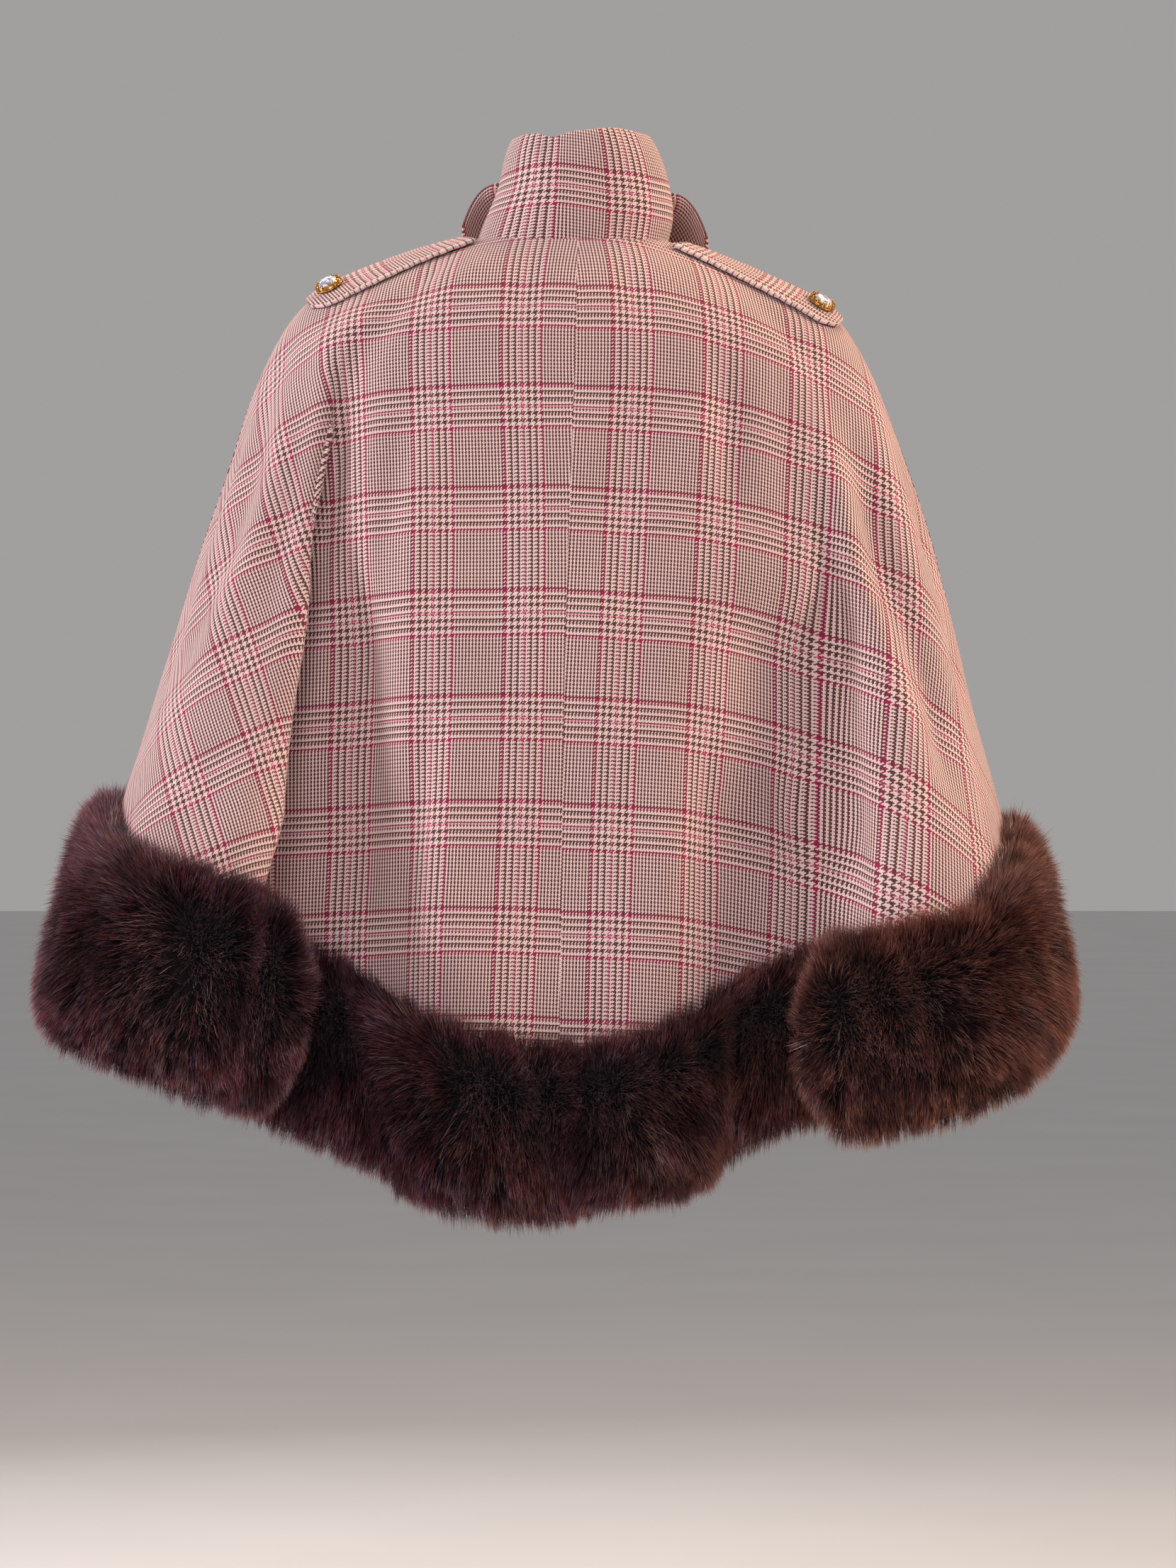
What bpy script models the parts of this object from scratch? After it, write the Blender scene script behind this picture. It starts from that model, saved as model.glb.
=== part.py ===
"""A worn, hip-length tweed cape with a stand collar, shoulder straps and a fur hem band.

Frame: metres, +Z up, the garment's front towards -Y and the wearer's left towards +X. The origin is
the middle of the neck, level with the collar seam at the centre back, where the wearer carries it.
The cloth is a thin wall through rings of the shoulders and a hem line; its folds open from the arms.
"""

import math

import bmesh
import bpy
import numpy as np
from mathutils import Vector

MM = 0.001

SEAM_GAP = 0.3 * MM
TWEED = 2.2 * MM
COLLAR_CLOTH = 3.6 * MM
WING_CLOTH = 4.0 * MM
STRAP_CLOTH = 4.5 * MM

# Rings of the shoulders and upper arms, in mm: where each crosses the centre back, the wearer's left,
# the centre front and the wearer's right, as a distance from the middle and a height. "along" is how far
# down the cloth the ring lies, in 100 mm.
RINGS = (
    # name        along  back  back_z  left  left_z  front  front_z  right  right_z
    ("neck",       0.0,    50,      0,   74,      4,   -64,    -36,   -78,      2),
    ("slope",      0.5,    80,    -28,  121,     -8,   -92,    -72,  -122,    -14),
    ("point",      1.05,  101,    -74,  173,    -27,  -114,   -122,  -173,    -36),
    ("tip",        1.5,   111,   -124,  213,    -49,  -126,   -180,  -211,    -58),
    ("arm",        2.0,   118,   -184,  242,    -93,  -133,   -240,  -238,    -98),
)
RING_POWER = 0.9
SAG = {"slope": 5, "point": 8, "tip": 7, "arm": 3}  # mm that a ring dips behind each shoulder
HULL = {"back": 172, "left": 356, "front": -155, "right": -343}
HULL_POWER = 0.85
LOWER_KNOTS = (3.0, 4.0, 5.0, 6.0)
BELLY_LEFT, BELLY_RIGHT = 5, 10
FOLD_POWER = 1.15

# The hem, in mm, from the centre back over the wearer's left, the centre front and the right. "turn" is
# the angle round the shoulders that the cloth there hangs from, "opens" how far down the cloth a fold
# begins, in 100 mm, and "fur" the height of the fur below it.
HEM = (
    # name            turn     x     y     z  opens  fur
    ("centre_back",      0,    0,  170, -636,   3.2, 118),
    ("centre_left",     12,   52,  176, -631,   3.2, 128),
    ("lobe_left",       21,   98,  172, -617,   3.2, 136),
    ("turn_left",       26,  124,  153, -605,   3.0, 138),
    ("trough_left",     31,  146,  132, -591,   2.8, 136),
    ("recess_left",     38,  182,  119, -573,   1.8, 132),
    ("under_left",      45,  224,  114, -554,   1.3, 130),
    ("tuck_left",       50,  254,  122, -532,   1.2, 120),
    ("flank_left",      53,  257,  143, -519,   1.2, 124),
    ("edge_left",       56,  236,  166, -519,   1.2, 140),
    ("roll_left",       59,  250,  184, -514,   1.2, 156),
    ("arm_left",        66,  295,  190, -498,   1.5, 160),
    ("elbow_left",      73,  334,  166, -479,   2.0, 164),
    ("outer_left",      81,  351,  116, -461,   2.5, 158),
    ("side_left",       90,  355,   45, -446,   3.0, 150),
    ("fore_left",      101,  354,  -20, -452,   3.0, 146),
    ("wrist_left",     113,  342,  -76, -474,   2.6, 142),
    ("hand_left",      126,  304, -122, -500,   2.4, 136),
    ("lap_left",       139,  244, -143, -515,   2.6, 130),
    ("dip_left",       151,  184, -137, -522,   3.0, 126),
    ("rise_left",      162,  124, -148, -526,   3.2, 122),
    ("plain_left",     171,   62, -157, -528,   3.4, 120),
    ("centre_front",   180,    0, -157, -527,   3.4, 120),
    ("plain_right",    189,  -62, -157, -527,   3.4, 120),
    ("rise_right",     199, -122, -150, -524,   3.2, 122),
    ("dip_right",      210, -180, -139, -520,   3.0, 124),
    ("lap_right",      222, -238, -144, -513,   2.6, 128),
    ("hand_right",     235, -294, -120, -500,   2.4, 134),
    ("wrist_right",    247, -330,  -74, -482,   2.6, 140),
    ("fore_right",     259, -343,  -20, -468,   3.0, 142),
    ("side_right",     270, -344,   40, -465,   3.0, 142),
    ("outer_right",    279, -337,  100, -484,   2.5, 148),
    ("elbow_right",    286, -324,  146, -506,   2.0, 144),
    ("corner_right",   293, -303,  176, -534,   2.0, 138),
    ("arm_right",      300, -268,  187, -541,   2.0, 146),
    ("roll_right",     306, -238,  177, -544,   2.0, 146),
    ("valley_right",   311, -214,  153, -551,   2.0, 130),
    ("under_right",    317, -188,  143, -561,   2.4, 122),
    ("bulge_right",    325, -158,  146, -573,   2.8, 124),
    ("recess_right",   332, -126,  142, -587,   3.0, 128),
    ("trough_right",   338, -102,  156, -605,   3.0, 128),
    ("lobe_right",     344,  -78,  170, -620,   3.2, 122),
    ("centre_right",   352,  -40,  175, -630,   3.2, 118),
)
HEM_COLUMNS = ("turn", "x", "y", "z", "opens", "fur")
COLUMN_STEP = 26 * MM
ROWS_DOWN = (0, 0.25, 0.5, 0.78, 1.05, 1.28, 1.5, 1.75, 2.0, 2.4, 2.8, 3.3, 3.8, 4.3, 4.8, 5.4, 6.0)

# The stand collar, in mm, read like RINGS; "up" is the share of its height.
COLLAR_RINGS = (
    # name    up    back  back_z  left  left_z  front  front_z  right  right_z
    ("seam",  0.0,    50,      0,   74,      4,   -64,    -36,   -78,      2),
    ("low",   0.16,   51,     14,   69,     18,   -64,    -23,   -81,     15),
    ("mid",   0.5,    52,     43,   58,     46,   -61,      5,   -80,     42),
    ("high",  0.8,    51,     70,   53,     69,   -57,     29,   -72,     70),
    ("top",   1.0,    48,     86,   48,     83,   -53,     45,   -64,     86),
)
COLLAR_END = 164  # degrees from the centre back
COLLAR_COLUMNS = 36
COLLAR_ROWS = 6
FOLD_FROM, FOLD_TO = 90, 118  # degrees over which the top drops to the turned-down corner's fold
FOLD_SHARE = {"left": 0.58, "right": 0.50}
FOLD_FRONT_SHARE = 0.46
TOP_DIP = {"at": 14, "wide": 11, "deep": -4.5}
TOP_CREST = {"at": -36, "wide": 20, "deep": 3.0}

# The turned-down corners, in mm: how far out and down the free edge lies from the fold.
WINGS = (
    # side    from   to  out_back  down_back  out_front  down_front
    ("left",   111,  160,       42,        42,         38,         44),
    ("right",  249,  200,       41,        44,         38,         44),
)
WING_COLUMNS, WING_ROWS = 9, 6
WING_ROLL = 0.45
WING_ROOT_SLANT = 0.6

# The shoulder straps: from and to along the shoulder in 100 mm, and half of the width in mm.
STRAPS = (
    # side    seam          start   end  half
    ("left",  "outer_left",  0.13, 1.46,  23),
    ("right", "outer_right", 0.16, 1.56,  23),
)
STRAP_END = 20 * MM
STRAP_STEPS, STRAP_LANES = 13, 6
STRAP_LIFT = 0.8 * MM
STRAP_EDGE_SHARE = 0.72

BUTTON_FROM_END = 21 * MM
BUTTON_R = 11 * MM
BEZEL_HEIGHT = 4.2 * MM
STONE_R = 8.6 * MM
STONE_HEIGHT = 4.6 * MM
STONE_SEAT = 1.4 * MM
BUTTON_STEPS = 18

# Lengths of the fur band, in mm: from and to name rows of HEM, and each end may run past its row to a
# point of its own, where one length lies over the next.
FUR_LENGTHS = (
    # name         from            to              start past it          end past it
    ("back_left",  "centre_back",  "under_left",   None,                  (272, 128, -536)),
    ("side_left",  "roll_left",    "side_left",    (204, 180, -531),      None),
    ("front_left", "side_left",    "centre_front", None,                  None),
    ("front_right", "centre_front", "side_right",  None,                  None),
    ("side_right", "side_right",   "arm_right",    None,                  (-177, 192, -562)),
    ("back_right", "valley_right", "centre_back",  None,                  None),
)
FUR_OUT, FUR_IN = 21 * MM, 17 * MM
FUR_STEP = 23 * MM
FUR_EASE = 8 * MM
FUR_SIDES = 12
FUR_POWER = 0.8
FUR_PARTING = 0.84  # share of the thickness that is left where two lengths meet
FUR_PARTING_LENGTH = 14 * MM
FUR_FREE_LENGTH = 32 * MM
FUR_FREE_STEPS = (0.34, 0.58, 0.78, 0.92, 1.0)

# name: colour, roughness, metallic
FINISHES = {
    "tweed": ((0.30, 0.16, 0.15), 0.95, 0.0),
    "tweed_double": ((0.27, 0.14, 0.13), 0.95, 0.0),
    "fur": ((0.030, 0.012, 0.014), 0.8, 0.0),
    "gold": ((0.80, 0.52, 0.20), 0.3, 1.0),
    "stone": ((0.62, 0.68, 0.80), 0.05, 0.0),
}


def finish(name):
    material = bpy.data.materials.get(name) or bpy.data.materials.new(name)
    colour, roughness, metallic = FINISHES[name]
    material.use_nodes = True
    shader = material.node_tree.nodes["Principled BSDF"]
    shader.inputs["Base Color"].default_value = (*colour, 1)
    shader.inputs["Roughness"].default_value = roughness
    shader.inputs["Metallic"].default_value = metallic
    return material


def add_object(name, mesh, material):
    mesh.materials.append(finish(material))
    obj = bpy.data.objects.new(name, mesh)
    bpy.data.collections["cape"].objects.link(obj)
    return obj


def unit(vectors):
    return vectors / np.maximum(np.linalg.norm(vectors, axis=-1, keepdims=True), 1e-12)


def spline_matrix(knots, at):
    """Weights that turn values at the knots into a natural cubic spline's values at each place."""
    knots, at = np.asarray(knots, float), np.asarray(at, float)
    count = len(knots)
    gap = np.diff(knots)
    system, right = np.eye(count), np.zeros((count, count))
    for i in range(1, count - 1):
        system[i, i - 1 : i + 2] = gap[i - 1], 2 * (gap[i - 1] + gap[i]), gap[i]
        right[i, i - 1 : i + 2] = 6 / gap[i - 1], -6 / gap[i - 1] - 6 / gap[i], 6 / gap[i]
    bends = np.linalg.solve(system, right)
    return spline_rows(knots, at, bends, np.eye(count))


def spline_rows(knots, at, bends, values):
    """Reads a cubic spline with the given second derivatives."""
    k = np.clip(np.searchsorted(knots, at, side="right") - 1, 0, len(knots) - 2)
    gap = (knots[k + 1] - knots[k])[:, None]
    b = (at - knots[k])[:, None] / gap
    a = 1 - b
    curve = (a**3 - a) * bends[k] + (b**3 - b) * bends[k + 1]
    return a * values[k] + b * values[k + 1] + curve * gap**2 / 6


class HemLine:
    """The hem table as a smooth closed line, read by the distance along it from the centre back."""

    def __init__(self):
        rows = np.array([row[1:] for row in HEM], float)
        rows = np.vstack([rows, rows[0] + [360, 0, 0, 0, 0, 0]])
        steps = np.linalg.norm(np.diff(rows[:, 1:4], axis=0), axis=1) * MM
        self.knots = np.concatenate([[0], np.cumsum(steps)])
        self.length = self.knots[-1]
        self.place = {row[0]: self.knots[i] for i, row in enumerate(HEM)}
        self.slope = np.array([360 / self.length, 0, 0, 0, 0, 0])
        self.values = rows - self.knots[:, None] * self.slope
        self.bends = self.closed_bends()

    def closed_bends(self):
        gap, count = np.diff(self.knots), len(self.knots) - 1
        system, right = np.zeros((count, count)), np.zeros((count, 6))
        for i in range(count):
            before, after = gap[i - 1], gap[i]
            system[i, i - 1] += before
            system[i, i] += 2 * (before + after)
            system[i, (i + 1) % count] += after
            rise = (self.values[i + 1] - self.values[i]) / after
            fall = (self.values[i] - self.values[(i - 1) % count]) / before
            right[i] = 6 * (rise - fall)
        bends = np.linalg.solve(system, right)
        return np.vstack([bends, bends[:1]])

    def read(self, s):
        s = np.asarray(s, float)
        turns = np.floor(s / self.length)
        at = s - turns * self.length
        found = spline_rows(self.knots, at, self.bends, self.values) + at[:, None] * self.slope
        found[:, 0] += 360 * turns
        return dict(zip(HEM_COLUMNS, found.T))

    def points(self, s):
        """Points of the line in metres."""
        hem = self.read(s)
        return np.stack([hem["x"], hem["y"], hem["z"]], axis=-1) * MM

    def between(self, start, end):
        """Places at and between the rows from one name to another, going over the left."""
        low, high = self.place[start], self.place[end]
        if high <= low:
            high += self.length
        knots = [k + turn for turn in (0, self.length) for k in self.knots[:-1]]
        knots = [k for k in knots if low - 1e-9 <= k <= high + 1e-9]
        if high - knots[-1] > 1e-9:
            knots.append(high)
        gaps = [(a, b, max(1, round((b - a) / COLUMN_STEP))) for a, b in zip(knots, knots[1:])]
        return np.concatenate([np.linspace(*gap, endpoint=False) for gap in gaps] + [[knots[-1]]])


LINE = HemLine()


def on_ring(ring, turn, power):
    """Points of one ring of a table at angles from the centre back, in mm."""
    back, back_z, left, left_z, front, front_z, right, right_z = ring[2:]
    angle = np.radians(turn)
    c, s = np.cos(angle), np.sin(angle)
    x = np.where(s >= 0, left, -right) * np.sign(s) * np.abs(s) ** power
    y = np.where(c >= 0, back, -front) * np.sign(c) * np.abs(c) ** power
    z = np.where(s >= 0, left_z, right_z) * s**2 + np.where(c >= 0, back_z, front_z) * c**2
    return np.stack([x, y, z], axis=-1)


def cloth(s, down):
    """Outer points of the cloth, in metres: places along the hem line by how far down, in 100 mm."""
    hem = LINE.read(s)
    turn = hem["turn"]
    points = [on_ring(ring, turn, RING_POWER) for ring in RINGS]
    angle = np.radians(turn)
    behind = 3.08 * np.clip(np.cos(angle), 0, 1) * np.abs(np.sin(angle)) ** 3
    for ring, row in zip(RINGS, points):
        row[:, 2] -= SAG.get(ring[0], 0) * behind
    arm = points[-1]
    hull_ring = ("hull", 0, HULL["back"], 0, HULL["left"], 0, HULL["front"], 0, HULL["right"], 0)
    hull = on_ring(hull_ring, turn, HULL_POWER)
    hull[:, 2] = hem["z"]
    fold = np.stack([hem["x"], hem["y"], hem["z"]], axis=-1) - hull
    outward = unit(hull * [1, 1, 0])
    leftness = (1 + np.sin(np.radians(turn))) / 2
    belly = (BELLY_RIGHT + (BELLY_LEFT - BELLY_RIGHT) * leftness)[:, None] * outward
    first, last = RINGS[-1][1], LOWER_KNOTS[-1]
    opens = np.clip(hem["opens"], 1, 4)[:, None]
    knots = [ring[1] for ring in RINGS] + list(LOWER_KNOTS)
    for i, knot in enumerate(knots):
        opened = fold * (np.clip(knot - opens, 0, None) / (last - opens)) ** FOLD_POWER
        if i < len(points):
            points[i] = points[i] + opened
            continue
        share = (knot - first) / (last - first)
        swell = belly * 6.75 * share * (1 - share) ** 2
        points.append(arm + (hull - arm) * share + opened + swell)
    weights = spline_matrix(knots, down)
    return np.einsum("tk,ksc->stc", weights, np.array(points)) * MM


def cloth_normals(s, down):
    """Outward directions of the cloth at the same points."""
    s, down = np.asarray(s, float), np.asarray(down, float)
    ds, dd = 1.5 * MM, 0.02
    along = cloth(s + ds, down) - cloth(s - ds, down)
    low, high = np.clip(down - dd, 0, None), np.clip(down + dd, None, LOWER_KNOTS[-1])
    return unit(np.cross(along, cloth(s, high) - cloth(s, low)))


def seat(s, down, facing):
    """Outer points under what lies on a panel: on the cloth, or on the chord between two rows above it."""
    rows = np.array(ROWS_DOWN)
    k = min(int(np.searchsorted(rows, down, side="right")) - 1, len(rows) - 2)
    share = (down - rows[k]) / (rows[k + 1] - rows[k])
    low, high, point = np.moveaxis(cloth(s, [rows[k], rows[k + 1], down]), 1, 0)
    rise = np.sum((low + (high - low) * share - point) * facing, axis=-1, keepdims=True)
    return point + facing * np.maximum(rise, 0)


def wall(name, outer, inner, material):
    """A closed wall between two grids of points of the same shape."""
    columns, rows = outer.shape[:2]
    mesh = bmesh.new()
    skins = [[[mesh.verts.new(p) for p in column] for column in grid] for grid in (outer, inner)]
    out, back = skins
    for i in range(columns - 1):
        for j in range(rows - 1):
            mesh.faces.new((out[i][j], out[i][j + 1], out[i + 1][j + 1], out[i + 1][j]))
            mesh.faces.new((back[i][j], back[i + 1][j], back[i + 1][j + 1], back[i][j + 1]))
        for j, turned in ((0, False), (rows - 1, True)):
            rim = (out[i][j], out[i + 1][j], back[i + 1][j], back[i][j])
            mesh.faces.new(rim[::-1] if turned else rim)
    for j in range(rows - 1):
        for i, turned in ((0, True), (columns - 1, False)):
            rim = (out[i][j], out[i][j + 1], back[i][j + 1], back[i][j])
            mesh.faces.new(rim[::-1] if turned else rim)
    bmesh.ops.recalc_face_normals(mesh, faces=mesh.faces)
    data = bpy.data.meshes.new(name)
    mesh.to_mesh(data)
    mesh.free()
    data.shade_smooth()
    data.set_sharp_from_angle(angle=math.radians(50))
    return add_object(name, data, material)


def trimmed(grid, first=0.0, last=0.0):
    """The grid with its first and last columns moved inwards by a length."""
    grid = grid.copy()
    grid[0] += unit(grid[1] - grid[0]) * first
    grid[-1] += unit(grid[-2] - grid[-1]) * last
    return grid


def add_panel(name, start, end):
    """One cut piece of tweed, from seam to seam and from the neck to the hem."""
    s = LINE.between(start, end)
    outer = cloth(s, ROWS_DOWN)
    inner = outer - cloth_normals(s, ROWS_DOWN) * TWEED
    half_gap = SEAM_GAP / 2
    wall(name, trimmed(outer, half_gap, half_gap), trimmed(inner, half_gap, half_gap), "tweed")


def bump(x, shape):
    return shape["deep"] * np.exp(-(((x - shape["at"]) / shape["wide"]) ** 2))


def collar_share(turn):
    """How much of the collar's height stands at an angle from the centre back."""
    angle = np.degrees(np.arccos(np.cos(np.radians(turn))))
    fold = np.where(np.sin(np.radians(turn)) >= 0, FOLD_SHARE["left"], FOLD_SHARE["right"])
    ease = np.clip((angle - FOLD_FROM) / (FOLD_TO - FOLD_FROM), 0, 1)
    ease = ease * ease * (3 - 2 * ease)
    front = np.clip((angle - FOLD_TO) / (COLLAR_END - FOLD_TO), 0, 1)
    folded = fold + (FOLD_FRONT_SHARE - fold) * front
    return 1 + (folded - 1) * ease


def collar_points(turn, up):
    """Outer points of the collar, in metres, by angle and share of its height."""
    turn = np.asarray(turn, float)
    rings = np.array([on_ring(ring, turn, RING_POWER) for ring in COLLAR_RINGS])
    knots = [ring[1] for ring in COLLAR_RINGS]
    points = np.empty((len(turn), np.shape(up)[-1], 3))
    shares = np.broadcast_to(up, points.shape[:2])
    for i in range(len(turn)):
        points[i] = spline_matrix(knots, shares[i]) @ rings[:, i]
    back = np.clip(np.cos(np.radians(turn)), 0, 1)[:, None]
    wave = (bump(points[..., 0], TOP_DIP) + bump(points[..., 0], TOP_CREST)) * back
    points[..., 2] += wave * shares**3
    return points * MM


def grid_normals(grid):
    along = np.gradient(grid, axis=0)
    down = np.gradient(grid, axis=1)
    return unit(np.cross(along, down))


def add_collar():
    turn = np.linspace(-COLLAR_END, COLLAR_END, COLLAR_COLUMNS + 1)
    share = collar_share(turn)
    up = np.linspace(1, 0, COLLAR_ROWS + 1)[None, :] * share[:, None]
    outer = collar_points(turn, up)
    outer[..., 2] += SEAM_GAP
    inward = grid_normals(outer)
    for edge in (0, -1):
        inward[:, edge] = unit(inward[:, edge] * [1, 1, 0])
    wall("collar", outer, outer - inward * COLLAR_CLOTH, "tweed_double")


def add_wing(side, start, end, out_back, down_back, out_front, down_front):
    """A front corner of the collar, turned down over its outer side."""
    turn = np.linspace(start, end, WING_COLUMNS + 1)
    fold = collar_points(turn, collar_share(turn)[:, None])[:, 0]
    outward = unit(fold * [1, 1, 0])
    along = np.linspace(0, 1, WING_COLUMNS + 1)[:, None]
    down = np.linspace(0, 1, WING_ROWS + 1)[None, :]
    rounded = 1 - 0.16 * np.maximum(0, 1 - along / 0.16) ** 2 - 0.3 * np.maximum(0, (along - 0.8) / 0.2) ** 2
    reach = down * rounded
    out = (out_back + (out_front - out_back) * along) * reach**WING_ROLL * MM
    drop = (down_back + (down_front - down_back) * along) * reach**1.4 * MM
    clear = SEAM_GAP + 0.2 * MM
    outer = fold[:, None] + outward[:, None] * (out + clear)[..., None]
    outer[..., 2] -= drop
    facing = grid_normals(outer)
    if side == "right":
        facing = -facing
    inner = outer - facing * WING_CLOTH
    inner[:, 0] = outer[:, 0] + outward * WING_CLOTH * WING_ROOT_SLANT - [0, 0, WING_CLOTH]
    wall("collar_wing_" + side, outer, inner, "tweed_double")


def strap_frame(seam, start, end, half):
    """Places and widths down a shoulder strap: along the hem line and down the cloth."""
    steps = np.linspace(0, 1, STRAP_STEPS + 1) ** 0.85
    down = start + (end - start) * steps
    middle = LINE.place[seam]
    centre = cloth([middle], down)[0]
    length = np.concatenate([[0], np.cumsum(np.linalg.norm(np.diff(centre, axis=0), axis=1))])
    left = length[-1] - length
    rounded = np.clip(1 - left / STRAP_END, 0, 1)
    width = half * MM * (1 - 0.62 * rounded**2.4)
    per_metre = np.linalg.norm(cloth([middle + 4 * MM], down)[0] - centre, axis=1) / (4 * MM)
    lanes = np.linspace(-1, 1, STRAP_LANES + 1)
    return middle + lanes[:, None] * (width / per_metre)[None, :], down, lanes, left


def strap_points(seam, start, end, half):
    """The strap's under and upper points, moved out from the cloth that it lies on."""
    places, down, lanes, _ = strap_frame(seam, start, end, half)
    base, facing = np.empty((*places.shape, 3)), np.empty((*places.shape, 3))
    for j in range(len(down)):
        facing[:, j] = cloth_normals(places[:, j], [down[j]])[:, 0]
        base[:, j] = seat(places[:, j], down[j], facing[:, j])
    under = base + facing * STRAP_LIFT
    crown = STRAP_EDGE_SHARE + (1 - STRAP_EDGE_SHARE) * (1 - lanes**4)
    upper = base + facing * (STRAP_LIFT + STRAP_CLOTH * crown[:, None, None])
    return under, upper, facing


def add_strap(side, seam, start, end, half):
    under, upper, _ = strap_points(seam, start, end, half)
    wall("epaulette_" + side, upper, under, "tweed_double")


def turned(name, profile, material, centre, axis):
    """A round piece from the points of its profile, top to bottom, closed on its axis."""
    mesh = bpy.data.meshes.new(name)
    mesh.from_pydata([(r, 0, z) for r, z in profile], [(i, i + 1) for i in range(len(profile) - 1)], [])
    obj = add_object(name, mesh, material)
    obj.location = centre
    obj.rotation_mode = "QUATERNION"
    obj.rotation_quaternion = Vector(axis).to_track_quat("Z", "X")
    screw = obj.modifiers.new("turn", "SCREW")
    screw.steps = BUTTON_STEPS
    screw.render_steps = BUTTON_STEPS
    screw.use_merge_vertices = True
    screw.merge_threshold = 1e-6
    screw.use_smooth_shade = True
    return obj


def add_button(side, seam, start, end, half):
    """A gold bezel with a clear domed stone, sewn near the strap's outer end."""
    under, upper, facing = strap_points(seam, start, end, half)
    _, _, lanes, left = strap_frame(seam, start, end, half)
    near = int(np.argmin(np.abs(left - BUTTON_FROM_END)))
    middle = len(lanes) // 2
    axis = unit(facing[middle, near])
    seat = upper[middle, near] + axis * SEAM_GAP
    rim = BUTTON_R
    bezel = (
        (0, STONE_SEAT),
        (STONE_R - 0.4 * MM, STONE_SEAT),
        (STONE_R + SEAM_GAP, STONE_SEAT + 0.7 * MM),
        (STONE_R + SEAM_GAP, BEZEL_HEIGHT - 0.4 * MM),
        (STONE_R + 0.9 * MM, BEZEL_HEIGHT),
        (rim - 0.5 * MM, BEZEL_HEIGHT - 0.7 * MM),
        (rim, BEZEL_HEIGHT * 0.55),
        (rim - 0.9 * MM, 0.5 * MM),
        (rim - 2.0 * MM, 0),
        (0, 0),
    )
    turned("bezel_" + side, bezel, "gold", seat, axis)
    base = STONE_SEAT + 0.7 * MM + SEAM_GAP
    dome = [
        (STONE_R * math.cos(a), base + 1.2 * MM + STONE_HEIGHT * math.sin(a))
        for a in (math.radians(90 - 15 * k) for k in range(7))
    ]
    dome[0] = (0, dome[0][1])
    turned("stone_" + side, dome + [(STONE_R, base), (0, base)], "stone", seat, axis)


def fur_path(start, end, lead, tail):
    """The line that a length of fur hangs from: points, ways down, heights and directions along it."""
    low, high = LINE.place[start], LINE.place[end]
    if high <= low:
        high += LINE.length
    count = max(3, round((high - low) / FUR_STEP))
    s = np.linspace(low, high, count + 1)
    points = LINE.points(s)
    along = LINE.points(s + FUR_EASE) - LINE.points(s - FUR_EASE)
    slope = unit(cloth(s, [6.0])[:, 0] - cloth(s, [5.4])[:, 0])
    height = LINE.read(s)["fur"] * MM
    for extra, at in ((lead, 0), (tail, -1)):
        if extra is None:
            continue
        target = np.array(extra) * MM
        shares = np.array(FUR_FREE_STEPS)[:, None]
        number = len(shares)
        more = points[at] + (target - points[at]) * shares
        way = np.repeat((target - points[at])[None], number, axis=0)
        more = [more, np.repeat(slope[at][None], number, axis=0), np.repeat(height[at], number)]
        more.append(-way if at == 0 else way)
        had = [points, slope, height, along]
        if at == 0:
            points, slope, height, along = [np.concatenate([m[::-1], h]) for m, h in zip(more, had)]
        else:
            points, slope, height, along = [np.concatenate([h, m]) for m, h in zip(more, had)]
    return points, slope, height, unit(along * [1, 1, 0])


def add_fur(name, start, end, lead, tail):
    """A length of the fur band: a round-edged roll that hangs below the hem."""
    points, slope, height, along = fur_path(start, end, lead, tail)
    outward = np.stack([-along[:, 1], along[:, 0], np.zeros(len(along))], axis=-1)
    outward = unit(outward - slope * np.sum(outward * slope, axis=-1, keepdims=True))
    angles = np.linspace(0, 2 * math.pi, FUR_SIDES, endpoint=False)
    c, s = np.cos(angles), np.sin(angles)
    across = np.sign(s) * np.abs(s) ** FUR_POWER
    lengthways = np.sign(c) * np.abs(c) ** FUR_POWER
    middle = points + slope * (height / 2 + SEAM_GAP)[:, None] + outward * (FUR_OUT - FUR_IN) / 2
    length = np.concatenate([[0], np.cumsum(np.linalg.norm(np.diff(points, axis=0), axis=1))])
    thin, short = np.ones(len(points)), np.ones(len(points))
    for free, left in ((lead, length), (tail, length[-1] - length)):
        if free is None:
            thin *= FUR_PARTING + (1 - FUR_PARTING) * np.clip(left / FUR_PARTING_LENGTH, 0, 1) ** 0.5
            continue
        round_end = np.sqrt(1 - (1 - np.clip(left / FUR_FREE_LENGTH, 0, 1)) ** 2)
        thin *= 0.25 + 0.75 * round_end
        short *= 0.45 + 0.55 * round_end
    thick = (FUR_OUT + FUR_IN) / 2 * thin
    middle[0] += unit(middle[1] - middle[0]) * SEAM_GAP / 2
    middle[-1] += unit(middle[-2] - middle[-1]) * SEAM_GAP / 2
    mesh = bmesh.new()
    rings = []
    for i in range(len(points)):
        spread = outward[i] * thick[i] * across[:, None]
        fall = -slope[i] * height[i] / 2 * short[i] * lengthways[:, None]
        rings.append([mesh.verts.new(p) for p in middle[i] + spread + fall])
    for ring, following in zip(rings, rings[1:]):
        for k in range(FUR_SIDES):
            n = (k + 1) % FUR_SIDES
            mesh.faces.new((ring[k], ring[n], following[n], following[k]))
    for ring in (rings[0], rings[-1]):
        mesh.faces.new(ring)
    bmesh.ops.recalc_face_normals(mesh, faces=mesh.faces)
    data = bpy.data.meshes.new(name)
    mesh.to_mesh(data)
    mesh.free()
    data.shade_smooth()
    return add_object(name, data, "fur")


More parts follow.
